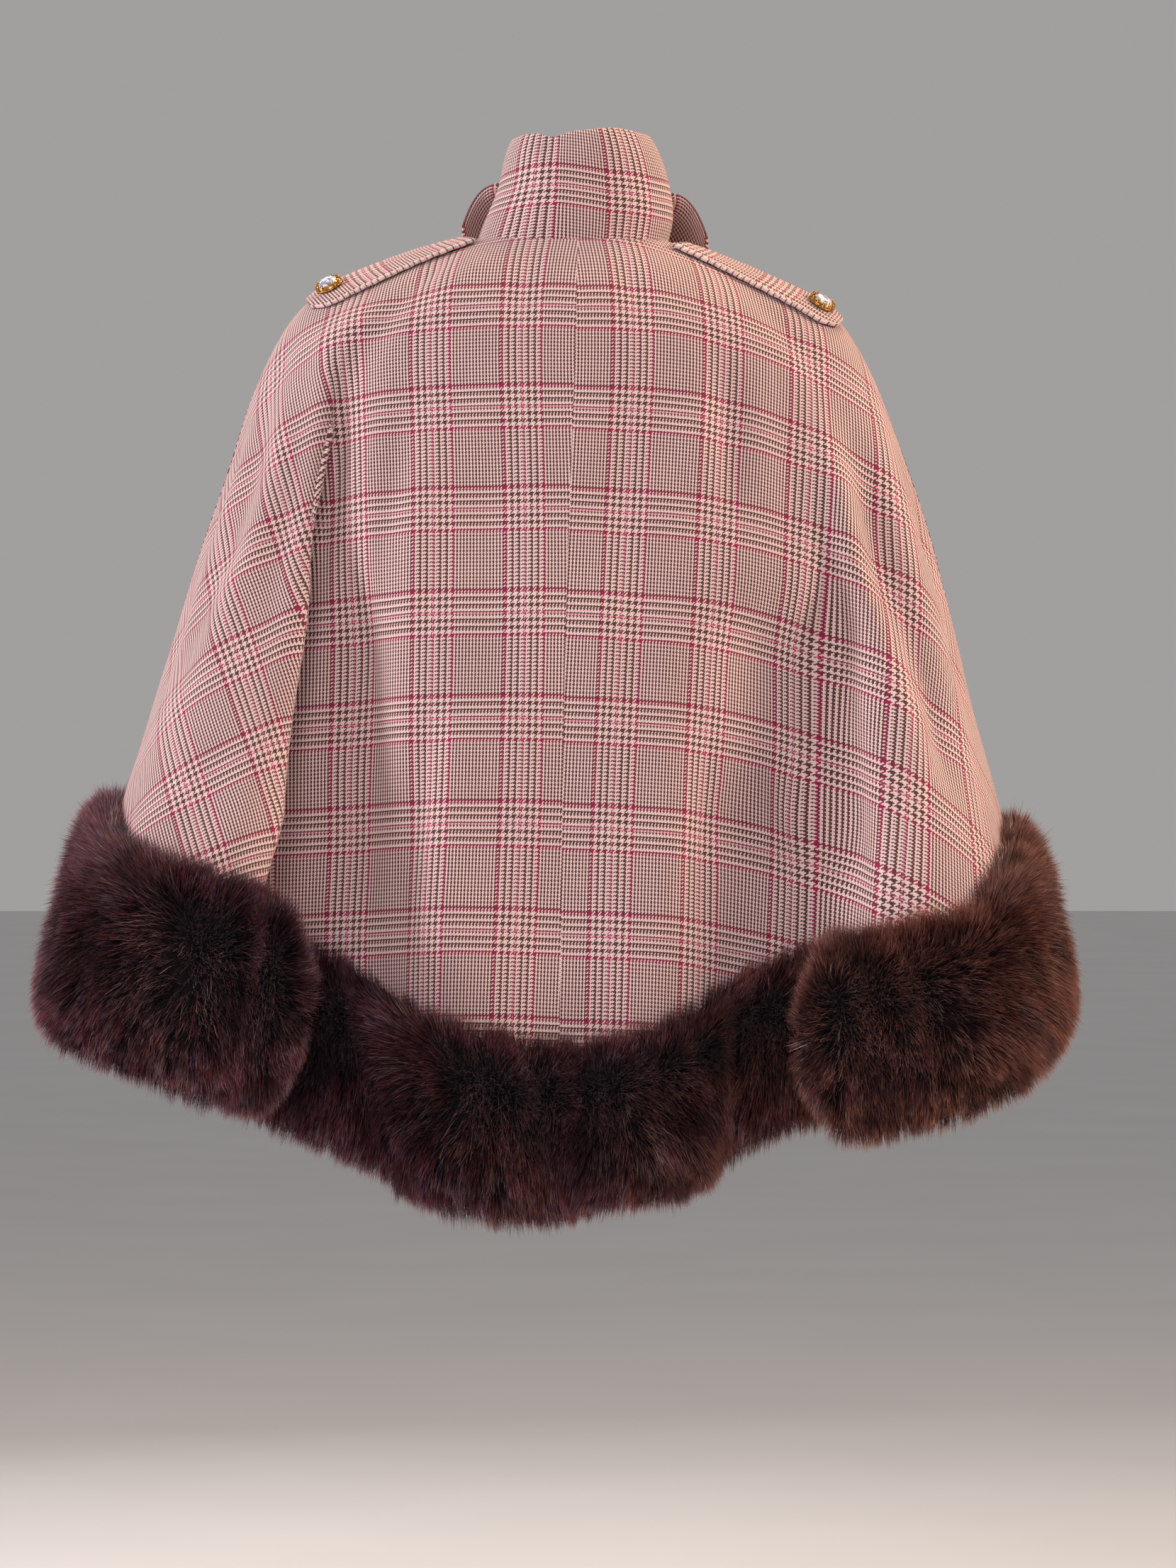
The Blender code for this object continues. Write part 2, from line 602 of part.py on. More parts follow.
def main():
    for obj in list(bpy.data.objects):
        bpy.data.objects.remove(obj, do_unlink=True)
    bpy.context.scene.collection.children.link(bpy.data.collections.new("cape"))

    add_panel("back_left", "centre_back", "side_left")
    add_panel("front_left", "side_left", "centre_front")
    add_panel("front_right", "centre_front", "side_right")
    add_panel("back_right", "side_right", "centre_back")
    add_collar()
    for wing in WINGS:
        add_wing(*wing)
    for strap in STRAPS:
        add_strap(*strap)
        add_button(*strap)
    for name, start, end, lead, tail in FUR_LENGTHS:
        add_fur("fur_" + name, start, end, lead, tail)


main()
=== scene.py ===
"""The visible cape: checked tweed in its worn folds, stand collar, straps, jewelled buttons and fur.

Metres, +Z up, the wearer's left towards +X, seen from behind (+Y). Threads, clumps and folds are in
millimetres in the tables. Places read from the photograph are in pixels of its 1659 x 2212 frame.
"""

import math

import bmesh
import bpy
import numpy as np
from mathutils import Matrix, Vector


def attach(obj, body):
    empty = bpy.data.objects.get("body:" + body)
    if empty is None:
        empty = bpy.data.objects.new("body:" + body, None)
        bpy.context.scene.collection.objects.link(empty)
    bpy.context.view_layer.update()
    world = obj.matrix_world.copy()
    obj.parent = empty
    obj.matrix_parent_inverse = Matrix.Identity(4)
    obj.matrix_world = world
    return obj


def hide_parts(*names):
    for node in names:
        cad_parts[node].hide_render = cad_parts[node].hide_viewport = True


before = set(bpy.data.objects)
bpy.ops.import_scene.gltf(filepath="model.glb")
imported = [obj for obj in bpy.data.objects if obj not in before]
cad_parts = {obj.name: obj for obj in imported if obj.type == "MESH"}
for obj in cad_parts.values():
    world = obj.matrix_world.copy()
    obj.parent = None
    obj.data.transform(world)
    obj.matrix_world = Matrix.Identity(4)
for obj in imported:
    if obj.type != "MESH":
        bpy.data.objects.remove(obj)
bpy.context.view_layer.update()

MM = 0.001
TWEED = 2.2 * MM
COLLAR_CLOTH = 3.6 * MM
SEAM_GAP = 0.3 * MM

# The camera: straight along -Y, square on to the cape's plane, which it shows at a fixed scale.
CAMERA_X, CAMERA_Z = -0.0137, -0.4318
PLANE_Y, AWAY = 0.06, 4.5
PIXEL = 0.56 * MM
PHOTO_WIDE, PHOTO_HIGH = 1659, 2212

# Rings of the shoulders and upper arms, in mm; "along" is how far down the cloth, in 100 mm.
RINGS = (
    # name        along  back  back_z  left  left_z  front  front_z  right  right_z
    ("neck",       0.0,    50,      0,   74,      4,   -64,    -36,   -78,      2),
    ("slope",      0.5,    80,    -28,  121,     -8,   -92,    -72,  -122,    -14),
    ("point",      1.05,  101,    -74,  173,    -27,  -114,   -122,  -173,    -36),
    ("tip",        1.5,   111,   -124,  213,    -49,  -126,   -180,  -211,    -58),
    ("arm",        2.0,   118,   -184,  242,    -93,  -133,   -240,  -238,    -98),
)
RING_POWER = 0.9
SAG = {"slope": 5, "point": 8, "tip": 7, "arm": 3}  # mm that a ring dips behind each shoulder
SAG_PEAK = 3.08  # brings a cosine by a cubed sine to 1 at its highest
HULL = {"back": 172, "left": 356, "front": -155, "right": -343}
HULL_POWER = 0.85
LOWER_KNOTS = (3.0, 4.0, 5.0, 6.0)
BELLY_LEFT, BELLY_RIGHT = 5, 10
BELLY_PEAK = 6.75  # brings a share by its squared rest to 1 at its highest
FOLD_POWER = 1.15

# The hem, in mm: the angle it hangs from, its place, where its fold begins and the fur's height.
HEM = (
    # name            turn     x     y     z  opens  fur
    ("centre_back",      0,    0,  170, -636,   3.2, 118),
    ("centre_left",     12,   52,  176, -631,   3.2, 128),
    ("lobe_left",       21,   98,  172, -617,   3.2, 136),
    ("turn_left",       26,  124,  153, -605,   3.0, 138),
    ("trough_left",     31,  146,  132, -591,   2.8, 136),
    ("recess_left",     38,  182,  119, -573,   1.8, 132),
    ("under_left",      45,  224,  114, -554,   1.3, 130),
    ("tuck_left",       50,  254,  122, -532,   1.2, 120),
    ("flank_left",      53,  257,  143, -519,   1.2, 124),
    ("edge_left",       56,  236,  166, -519,   1.2, 140),
    ("roll_left",       59,  250,  184, -514,   1.2, 156),
    ("arm_left",        66,  295,  190, -498,   1.5, 160),
    ("elbow_left",      73,  334,  166, -479,   2.0, 164),
    ("outer_left",      81,  351,  116, -461,   2.5, 158),
    ("side_left",       90,  355,   45, -446,   3.0, 150),
    ("fore_left",      101,  354,  -20, -452,   3.0, 146),
    ("wrist_left",     113,  342,  -76, -474,   2.6, 142),
    ("hand_left",      126,  304, -122, -500,   2.4, 136),
    ("lap_left",       139,  244, -143, -515,   2.6, 130),
    ("dip_left",       151,  184, -137, -522,   3.0, 126),
    ("rise_left",      162,  124, -148, -526,   3.2, 122),
    ("plain_left",     171,   62, -157, -528,   3.4, 120),
    ("centre_front",   180,    0, -157, -527,   3.4, 120),
    ("plain_right",    189,  -62, -157, -527,   3.4, 120),
    ("rise_right",     199, -122, -150, -524,   3.2, 122),
    ("dip_right",      210, -180, -139, -520,   3.0, 124),
    ("lap_right",      222, -238, -144, -513,   2.6, 128),
    ("hand_right",     235, -294, -120, -500,   2.4, 134),
    ("wrist_right",    247, -330,  -74, -482,   2.6, 140),
    ("fore_right",     259, -343,  -20, -468,   3.0, 142),
    ("side_right",     270, -344,   40, -465,   3.0, 142),
    ("outer_right",    279, -337,  100, -484,   2.5, 148),
    ("elbow_right",    286, -324,  146, -506,   2.0, 144),
    ("corner_right",   293, -303,  176, -534,   2.0, 138),
    ("arm_right",      300, -268,  187, -541,   2.0, 146),
    ("roll_right",     306, -238,  177, -544,   2.0, 146),
    ("valley_right",   311, -214,  153, -551,   2.0, 130),
    ("under_right",    317, -188,  143, -561,   2.4, 122),
    ("bulge_right",    325, -158,  146, -573,   2.8, 124),
    ("recess_right",   332, -126,  142, -587,   3.0, 128),
    ("trough_right",   338, -102,  156, -605,   3.0, 128),
    ("lobe_right",     344,  -78,  170, -620,   3.2, 122),
    ("centre_right",   352,  -40,  175, -630,   3.2, 118),
)
HEM_COLUMNS = ("turn", "x", "y", "z", "opens", "fur")
FULL_LENGTH = LOWER_KNOTS[-1]

COLLAR_RINGS = (
    # name    up    back  back_z  left  left_z  front  front_z  right  right_z
    ("seam",  0.0,    50,      0,   74,      4,   -64,    -36,   -78,      2),
    ("low",   0.16,   51,     14,   69,     18,   -64,    -23,   -81,     15),
    ("mid",   0.5,    52,     43,   58,     46,   -61,      5,   -80,     42),
    ("high",  0.8,    51,     70,   53,     69,   -57,     29,   -72,     70),
    ("top",   1.0,    48,     86,   48,     83,   -53,     45,   -64,     86),
)
COLLAR_END = 164
FOLD_FROM, FOLD_TO = 90, 118
FOLD_SHARE = {"left": 0.58, "right": 0.50}
FOLD_FRONT_SHARE = 0.46
TOP_DIP = {"at": 14, "wide": 11, "deep": -4.5}
TOP_CREST = {"at": -36, "wide": 20, "deep": 3.0}

WINGS = (
    # side    from   to  out_back  down_back  out_front  down_front
    ("left",   111,  160,       42,        42,         38,         44),
    ("right",  249,  200,       41,        44,         38,         44),
)
WING_ROLL = 0.45

STRAPS = (
    # side    seam          start   end  half
    ("left",  "outer_left",  0.13, 1.46,  23),
    ("right", "outer_right", 0.16, 1.56,  23),
)
STRAP_END = 20 * MM
STRAP_CLOTH = 4.5 * MM
STRAP_LIFT = 0.9 * MM
STRAP_ROWS, STRAP_AROUND = 96, 48
STRAP_MIDDLE_ROW = 40
BUTTON_FROM_END = 21 * MM

FUR_LENGTHS = (
    # name         from            to              start past it          end past it          hairs
    ("back_left",  "centre_back",  "under_left",   None,                  (272, 128, -536),    46000),
    ("side_left",  "roll_left",    "side_left",    (204, 180, -531),      None,                57000),
    ("front_left", "side_left",    "centre_front", None,                  None,                24000),
    ("front_right", "centre_front", "side_right",  None,                  None,                24000),
    ("side_right", "side_right",   "arm_right",    None,                  (-177, 192, -562),   55000),
    ("back_right", "valley_right", "centre_back",  None,                  None,                40000),
)

# The check, in threads: two zones a repeat, of fours and of twos, each led by a burgundy line.
REPEAT, FOURS = 112, 48
LINE_HALF = 2.0
PINK_MIDDLE, PINK_HALF = 25.5, 1.0
ACROSS = 0.643 * MM
DOWN = 0.737 * MM
FRONT_START = 40
# Centres of the burgundy cross lines down the centre back: picture row and thread.
CROSS_LINES = (
    (336, -62), (403, 2), (461, 50), (543, 114), (602, 162), (686, 226), (746, 274), (832, 338),
    (895, 386), (982, 450), (1044.5, 498), (1132.5, 562), (1196, 610), (1285, 674), (1347, 722),
    (1438, 786),
)
SEAM_PICTURE = ((335, 817), (640, 806), (940, 797), (1220, 792), (1490, 789))  # row, column
LEFT_LINE, RIGHT_LINE = -22.0 * MM, 20.9 * MM  # the burgundy lines either side of the centre seam
RIGHT_LOWER = 1.6 * MM  # how much lower the check sits right of the centre seam


def srgb(text):
    """A linear colour from a hexadecimal one."""
    parts = [int(text[i : i + 2], 16) / 255 for i in (1, 3, 5)]
    return tuple(c / 12.92 if c <= 0.04045 else ((c + 0.055) / 1.055) ** 2.4 for c in parts)


def unit(vectors):
    return vectors / np.maximum(np.linalg.norm(vectors, axis=-1, keepdims=True), 1e-12)


def signed_power(values, power):
    return np.sign(values) * np.abs(values) ** power


def smooth(share):
    """A share from 0 to 1, eased at both ends."""
    return share * share * (3 - 2 * share)


def lengths(points):
    """How far along a line each of its points lies."""
    return np.concatenate([[0], np.cumsum(np.linalg.norm(np.diff(points, axis=0), axis=1))])


# The form of the cloth


def spline_rows(knots, at, bends, values):
    k = np.clip(np.searchsorted(knots, at, side="right") - 1, 0, len(knots) - 2)
    gap = (knots[k + 1] - knots[k])[:, None]
    b = (at - knots[k])[:, None] / gap
    a = 1 - b
    curve = (a**3 - a) * bends[k] + (b**3 - b) * bends[k + 1]
    return a * values[k] + b * values[k + 1] + curve * gap**2 / 6


def spline_matrix(knots, at):
    """Weights that turn values at the knots into a natural cubic spline's values at each place."""
    knots, at = np.asarray(knots, float), np.asarray(at, float)
    count = len(knots)
    gap = np.diff(knots)
    system, right = np.eye(count), np.zeros((count, count))
    for i in range(1, count - 1):
        system[i, i - 1 : i + 2] = gap[i - 1], 2 * (gap[i - 1] + gap[i]), gap[i]
        right[i, i - 1 : i + 2] = 6 / gap[i - 1], -6 / gap[i - 1] - 6 / gap[i], 6 / gap[i]
    bends = np.linalg.solve(system, right)
    return spline_rows(knots, at, bends, np.eye(count))


class HemLine:
    """The hem table as a smooth closed line, read by the distance along it from the centre back."""

    def __init__(self):
        rows = np.array([row[1:] for row in HEM], float)
        rows = np.vstack([rows, rows[0] + [360, 0, 0, 0, 0, 0]])
        steps = np.linalg.norm(np.diff(rows[:, 1:4], axis=0), axis=1) * MM
        self.knots = np.concatenate([[0], np.cumsum(steps)])
        self.length = self.knots[-1]
        self.place = {row[0]: self.knots[i] for i, row in enumerate(HEM)}
        self.slope = np.array([360 / self.length, 0, 0, 0, 0, 0])
        self.values = rows - self.knots[:, None] * self.slope
        self.bends = self.closed_bends()

    def closed_bends(self):
        gap, count = np.diff(self.knots), len(self.knots) - 1
        system, right = np.zeros((count, count)), np.zeros((count, 6))
        for i in range(count):
            before, after = gap[i - 1], gap[i]
            system[i, i - 1] += before
            system[i, i] += 2 * (before + after)
            system[i, (i + 1) % count] += after
            rise = (self.values[i + 1] - self.values[i]) / after
            fall = (self.values[i] - self.values[(i - 1) % count]) / before
            right[i] = 6 * (rise - fall)
        bends = np.linalg.solve(system, right)
        return np.vstack([bends, bends[:1]])

    def read(self, s):
        s = np.asarray(s, float)
        turns = np.floor(s / self.length)
        at = s - turns * self.length
        found = spline_rows(self.knots, at, self.bends, self.values) + at[:, None] * self.slope
        found[:, 0] += 360 * turns
        return dict(zip(HEM_COLUMNS, found.T))

    def points(self, s):
        hem = self.read(s)
        return np.stack([hem["x"], hem["y"], hem["z"]], axis=-1) * MM

    def at_turn(self, turn):
        """The place along the hem that hangs from an angle."""
        s = np.linspace(0, self.length, 2000, endpoint=False)
        return float(np.interp(turn, self.read(s)["turn"], s))

    def span(self, start, end):
        """Where a piece begins and ends along the line, by the names of the two places."""
        low, high = self.place[start], self.place[end]
        return low, high if high > low else high + self.length


LINE = HemLine()


def on_ring(ring, turn, power):
    back, back_z, left, left_z, front, front_z, right, right_z = ring[2:]
    angle = np.radians(turn)
    c, s = np.cos(angle), np.sin(angle)
    x = np.where(s >= 0, left, -right) * signed_power(s, power)
    y = np.where(c >= 0, back, -front) * signed_power(c, power)
    z = np.where(s >= 0, left_z, right_z) * s**2 + np.where(c >= 0, back_z, front_z) * c**2
    return np.stack([x, y, z], axis=-1)


def cloth(s, down):
    """Outer points of the cloth: places along the hem line by how far down, in 100 mm."""
    hem = LINE.read(s)
    turn = hem["turn"]
    points = [on_ring(ring, turn, RING_POWER) for ring in RINGS]
    angle = np.radians(turn)
    behind = SAG_PEAK * np.clip(np.cos(angle), 0, 1) * np.abs(np.sin(angle)) ** 3
    for ring, row in zip(RINGS, points):
        row[:, 2] -= SAG.get(ring[0], 0) * behind
    arm = points[-1]
    hull_ring = ("hull", 0, HULL["back"], 0, HULL["left"], 0, HULL["front"], 0, HULL["right"], 0)
    hull = on_ring(hull_ring, turn, HULL_POWER)
    hull[:, 2] = hem["z"]
    fold = np.stack([hem["x"], hem["y"], hem["z"]], axis=-1) - hull
    outward = unit(hull * [1, 1, 0])
    leftness = (1 + np.sin(np.radians(turn))) / 2
    belly = (BELLY_RIGHT + (BELLY_LEFT - BELLY_RIGHT) * leftness)[:, None] * outward
    first, last = RINGS[-1][1], FULL_LENGTH
    opens = np.clip(hem["opens"], 1, 4)[:, None]
    knots = [ring[1] for ring in RINGS] + list(LOWER_KNOTS)
    for i, knot in enumerate(knots):
        opened = fold * (np.clip(knot - opens, 0, None) / (last - opens)) ** FOLD_POWER
        if i < len(points):
            points[i] = points[i] + opened
            continue
        share = (knot - first) / (last - first)
        swell = belly * BELLY_PEAK * share * (1 - share) ** 2
        points.append(arm + (hull - arm) * share + opened + swell)
    weights = spline_matrix(knots, down)
    return np.einsum("tk,ksc->stc", weights, np.array(points)) * MM


def grid_normals(grid):
    return unit(np.cross(np.gradient(grid, axis=0), np.gradient(grid, axis=1)))


def picture(points):
    """Columns and rows of the photograph at which the camera sees points."""
    scale = AWAY / (AWAY + PLANE_Y - points[..., 1]) / PIXEL
    column = PHOTO_WIDE / 2 - (points[..., 0] - CAMERA_X) * scale
    row = PHOTO_HIGH / 2 - (points[..., 2] - CAMERA_Z) * scale
    return np.stack([column, row], axis=-1)


# Meshes

CLOTH_SHARP = math.radians(60)


def place_object(name, data):
    obj = bpy.data.objects.new(name, data)
    bpy.context.scene.collection.objects.link(obj)
    return obj


def fix_normals(data):
    mesh = bmesh.new()
    mesh.from_mesh(data)
    bmesh.ops.recalc_face_normals(mesh, faces=mesh.faces)
    mesh.to_mesh(data)
    mesh.free()


def cloth_object(name, points, faces, maps):
    """A piece of cloth from points and a list of faces; maps are (name, uv per face corner)."""
    data = bpy.data.meshes.new(name)
    data.from_pydata(points.tolist(), [], faces)
    for title, uv in maps:
        layer = data.uv_layers.new(name=title)
        layer.data.foreach_set("uv", np.ascontiguousarray(uv, dtype=np.float32).ravel())
    data.shade_smooth()
    obj = place_object(name, data)
    fix_normals(data)
    data.set_sharp_from_angle(angle=CLOTH_SHARP)
    return obj


def quads(ids):
    """The four-sided faces of a grid of point numbers."""
    corners = [ids[:-1, :-1], ids[:-1, 1:], ids[1:, 1:], ids[1:, :-1]]
    return np.stack(corners, axis=-1).reshape(-1, 4)


def wall(name, outer, inner, maps):
    """A closed wall between two grids. maps are (name, outer uv grid, inner uv grid)."""
    columns, rows = outer.shape[:2]
    count = columns * rows
    ids = np.arange(count).reshape(columns, rows)
    front = quads(ids)
    back = front[:, [0, 3, 2, 1]] + count
    rims = []
    for line, flip in ((ids[:, 0], True), (ids[:, -1], False), (ids[0], False), (ids[-1], True)):
        rim = np.stack([line[:-1], line[1:], line[1:] + count, line[:-1] + count], axis=-1)
        rims.append(rim if flip else rim[:, ::-1])
    faces = np.concatenate([front, back] + rims)
    points = np.concatenate([outer.reshape(-1, 3), inner.reshape(-1, 3)])
    layers = []
    for title, out_uv, in_uv in maps:
        uv = np.concatenate([out_uv.reshape(-1, 2), in_uv.reshape(-1, 2)])
        layers.append((title, uv[faces.ravel()]))
    return cloth_object(name, points, faces.tolist(), layers)


def bake_grid(columns, rows, wide, tall):
    """A grid's place on the map OFBake, from the first to the last of its columns and rows."""
    across, down = np.linspace(*wide, columns), np.linspace(*tall, rows)
    return np.stack(np.meshgrid(across, down, indexing="ij"), axis=-1)


# The flat cut of a panel

FAN_RADIUS = 0.22  # how far above the neck the panels' fans have their middle, to begin with
FLAT_ROUNDS = 220
FLAT_COLUMNS, FLAT_ROWS = 24, 26


def flat_cut(grid):
    """Lays a grid of cloth flat, keeping its lengths as well as a flat piece can."""
    columns, rows = grid.shape[:2]
    ids = np.arange(columns * rows).reshape(columns, rows)
    pairs = [
        (ids[:-1], ids[1:]), (ids[:, :-1], ids[:, 1:]),
        (ids[:-1, :-1], ids[1:, 1:]), (ids[:-1, 1:], ids[1:, :-1]),
        (ids[:-2], ids[2:]), (ids[:, :-2], ids[:, 2:]),
    ]
    a = np.concatenate([p.ravel() for p, _ in pairs])
    b = np.concatenate([q.ravel() for _, q in pairs])
    points = grid.reshape(-1, 3)
    length = np.linalg.norm(points[a] - points[b], axis=1)
    weight = 1 / length
    down = np.linalg.norm(np.diff(grid, axis=1), axis=2).mean(0)
    radius = np.concatenate([[0], np.cumsum(down)]) + FAN_RADIUS
    angle = lengths(grid[:, -1]) / radius[-1]
    flat = np.stack([
        np.sin(angle)[:, None] * radius, FAN_RADIUS - np.cos(angle)[:, None] * radius,
    ], axis=-1).reshape(-1, 2)
    total = len(points)
    system = np.zeros((total, total))
    for one, two, sign in ((a, a, 1), (b, b, 1), (a, b, -1), (b, a, -1)):
        np.add.at(system, (one, two), sign * weight)
    system[0, 0] += weight.mean()
    inverse = np.linalg.inv(system)
    for _ in range(FLAT_ROUNDS):
        want = unit(flat[a] - flat[b]) * (length * weight)[:, None]
        right = np.zeros((total, 2))
        np.add.at(right, a, want)
        np.add.at(right, b, -want)
        right[0] += flat[0] * weight.mean()
        flat = inverse @ right
    return flat.reshape(columns, rows, 2)


# Creases

# Soft troughs (positive) and ridges (negative), placed on the photograph: depth and half width in mm.
CREASES = (
    # depth  wide   where, column and row
    (12.0,   18,    ((1168, 720), (1175, 800), (1178, 919), (1174, 1004), (1188, 1078), (1194, 1149),
                     (1200, 1257), (1190, 1310))),
    (4.5,    10,    ((1088, 1050), (1112, 1128), (1142, 1182), (1182, 1240))),
    (-3.6,   12,    ((1116, 1010), (1144, 1110), (1172, 1180))),
    (19.0,   44,    ((1080, 800), (1092, 960), (1096, 1120), (1084, 1260), (1070, 1390))),
    (-7.0,   14,    ((1150, 525), (1188, 670), (1208, 795), (1240, 877), (1282, 1002), (1292, 1066),
                     (1335, 1150))),
    (14.0,   17,    ((1176, 560), (1228, 680), (1254, 795), (1290, 890), (1330, 1002), (1346, 1080),
                     (1374, 1160))),
    (3.6,    13,    ((1016, 450), (1024, 546), (1034, 660), (1040, 760))),
    (-2.6,   13,    ((980, 460), (986, 560), (992, 700))),
    (3.2,    14,    ((1090, 470), (1108, 580), (1122, 700), (1126, 860))),
    (-3.0,   14,    ((1138, 600), (1140, 760), (1142, 900))),
    (5.5,    13,    ((613, 930), (604, 1020), (590, 1100), (576, 1200), (570, 1300), (572, 1410))),
    (-3.8,   15,    ((648, 960), (636, 1090), (626, 1220), (622, 1380))),
    (5.5,    15,    ((974, 940), (996, 1040), (1004, 1160), (996, 1280), (984, 1400))),
    (-3.2,   15,    ((944, 1000), (956, 1120), (952, 1260), (940, 1390))),
    (2.6,    18,    ((700, 520), (690, 700), (694, 860), (704, 1020))),
    (2.4,    16,    ((880, 580), (892, 760), (898, 940), (890, 1120))),
    (-2.0,   17,    ((762, 700), (752, 900), (744, 1100), (736, 1300))),
    (-2.0,   16,    ((846, 760), (852, 960), (856, 1150), (850, 1330))),
    (3.4,    13,    ((572, 500), (560, 640), (540, 760), (528, 900), (520, 1060), (512, 1240))),
    (-3.0,   13,    ((606, 560), (598, 700), (580, 840), (570, 960))),
    (-5.5,   15,    ((418, 510), (383, 655), (349, 781), (318, 850), (295, 920), (262, 1030))),
    (3.4,    13,    ((436, 560), (414, 680), (388, 800), (368, 920), (352, 1040), (336, 1150))),
    (8.0,    17,    ((384, 540), (350, 660), (316, 780), (266, 890), (226, 1000))),
    (8.0,    36,    ((500, 760), (486, 960), (476, 1140), (466, 1330))),
    (2.6,    13,    ((318, 1020), (292, 1120), (262, 1210))),
    (-2.6,   13,    ((372, 980), (352, 1100), (330, 1230))),
    (3.6,    11,    ((1040, 395), (1080, 430), (1130, 480), (1160, 540))),
    (2.6,    10,    ((640, 350), (600, 385), (552, 430), (520, 490))),
    (-2.0,   12,    ((700, 350), (640, 400), (590, 460))),
    (2.2,    12,    ((760, 348), (740, 400), (730, 470))),
    (2.2,    12,    ((870, 352), (900, 410), (912, 480))),
)
# The same by the angle round the shoulders and how far down: the left lobe's fold and the hidden side.
ROUND_CREASES = (
    (7.0, 14, ((48, 1.1), (49, 1.9), (49.5, 3.0), (50, 4.2), (50.5, 5.4))),
    (-5.0, 13, ((57, 0.8), (57.5, 1.6), (57.5, 3.0), (57.5, 4.6))),
    (9.0, 17, ((151, 2.0), (151, 3.4), (151, 4.6), (151, 5.9))),
    (-6.5, 17, ((160, 2.4), (161, 4.0), (162, 5.8))),
    (6.0, 16, ((168, 1.6), (170, 3.0), (172, 4.6))),
    (8.5, 17, ((210, 1.9), (210, 3.4), (211, 4.8), (210, 5.9))),
    (-6.5, 17, ((200, 2.6), (199, 4.2), (199, 5.8))),
    (5.0, 16, ((190, 1.8), (188, 3.2), (187, 4.4))),
    (7.5, 16, ((128, 1.4), (122, 2.6), (118, 4.0), (116, 5.4))),
    (-6.0, 17, ((108, 2.4), (105, 3.8), (103, 5.6))),
    (7.5, 16, ((232, 1.5), (238, 2.8), (243, 4.2), (246, 5.6))),
    (-6.0, 17, ((252, 2.2), (255, 3.8), (257, 5.4))),
    (3.6, 11, ((140, 0.5), (134, 1.2), (124, 1.9))),
    (3.6, 11, ((220, 0.5), (226, 1.2), (236, 1.9))),
    (6.0, 16, ((84, 2.2), (84, 3.6), (82, 5.2))),
    (6.0, 16, ((276, 2.4), (276, 3.8), (278, 5.2))),
)
# The near edge of the left lobe, which hangs over the back: picture row and column.
LOBE_EDGE = (
    (533, 468), (610, 464), (724, 445), (781, 435), (890, 424), (996, 414), (1091, 403), (1187, 395),
    (1277, 381),
)
LOBE_TURN = 57
LOBE_REACH = 0.085
SPOT_REACH, SPOT_SPREAD = 9, 4  # pixels within which the cloth at a charted spot is looked for
CREASE_REACH = 3  # in half widths
CREASE_FADE = 0.3  # share of a crease's length over which each end fades
CREASE_WAVE = 31 * MM
RIPPLE = 0.55 * MM
EASE_ROUNDS = 5


def crease_lines(panel):
    """Every crease on a panel as depth, width and a line on its flat cut."""
    outer, flat = panel["outer"], panel["flat"]
    seen = picture(outer)
    lines = []
    for depth, wide, path in CREASES if panel["back"] else ():
        line = []
        for spot in path:
            far = np.linalg.norm(seen - spot, axis=2)
            if far.min() < SPOT_REACH:
                near = np.where(far < far.min() + SPOT_SPREAD, outer[..., 1], -1)
                line.append(flat[np.unravel_index(near.argmax(), near.shape)])
        lines.append((depth * MM, wide * MM, line))
    low, high = panel["columns"][0], panel["columns"][-1]
    for depth, wide, path in ROUND_CREASES:
        line = []
        for turn, down in path:
            share = (LINE.at_turn(turn) - low) / (high - low)
            if 0 <= share <= 1:
                i = round(share * (len(panel["columns"]) - 1))
                line.append(flat[i, round(down / FULL_LENGTH * (len(panel["rows"]) - 1))])
        lines.append((depth * MM, wide * MM, line))
    return [(depth, wide, np.array(line)) for depth, wide, line in lines if len(line) > 1]


def from_line(spots, line):
    """How far each spot lies from a line, and where along it."""
    best, along = np.full(len(spots), np.inf), np.zeros(len(spots))
    start = lengths(line)
    for i, step in enumerate(np.linalg.norm(np.diff(line, axis=0), axis=1)):
        way = (line[i + 1] - line[i]) / step
        at = np.clip((spots - line[i]) @ way, 0, step)
        gap = np.linalg.norm(spots - line[i] - at[:, None] * way, axis=1)
        closer = gap < best
        best = np.where(closer, gap, best)
        along = np.where(closer, start[i] + at, along)
    return best, along, start[-1]


def creased(panel, normals):
    """The panel's points moved along their normals by the creases near them."""
    flat = panel["flat"].reshape(-1, 2)
    move = np.zeros(len(flat))
    for depth, wide, line in crease_lines(panel):
        low, high = line.min(0) - CREASE_REACH * wide, line.max(0) + CREASE_REACH * wide
        near = np.flatnonzero(np.all((flat > low) & (flat < high), axis=1))
        away, along, total = from_line(flat[near], line)
        share = along / total
        ends = smooth(np.clip(np.minimum(share, 1 - share) / CREASE_FADE, 0, 1))
        ends = 0.1 + 0.9 * ends
        wave = 1 + 0.25 * np.sin(along / CREASE_WAVE + depth * 3e3)
        move[near] -= depth * ends * wave * np.exp(-((away / wide) ** 2))
    return panel["outer"] + normals * move.reshape(normals.shape[:2])[..., None]


def eased(grid):
    """The grid smoothed, with its edges kept."""
    grid = grid.copy()
    for _ in range(EASE_ROUNDS):
        inner = grid[1:-1, 1:-1]
        beside = grid[:-2, 1:-1] + grid[2:, 1:-1] + grid[1:-1, :-2] + grid[1:-1, 2:]
        grid[1:-1, 1:-1] = inner * 0.4 + beside * 0.15
    return grid


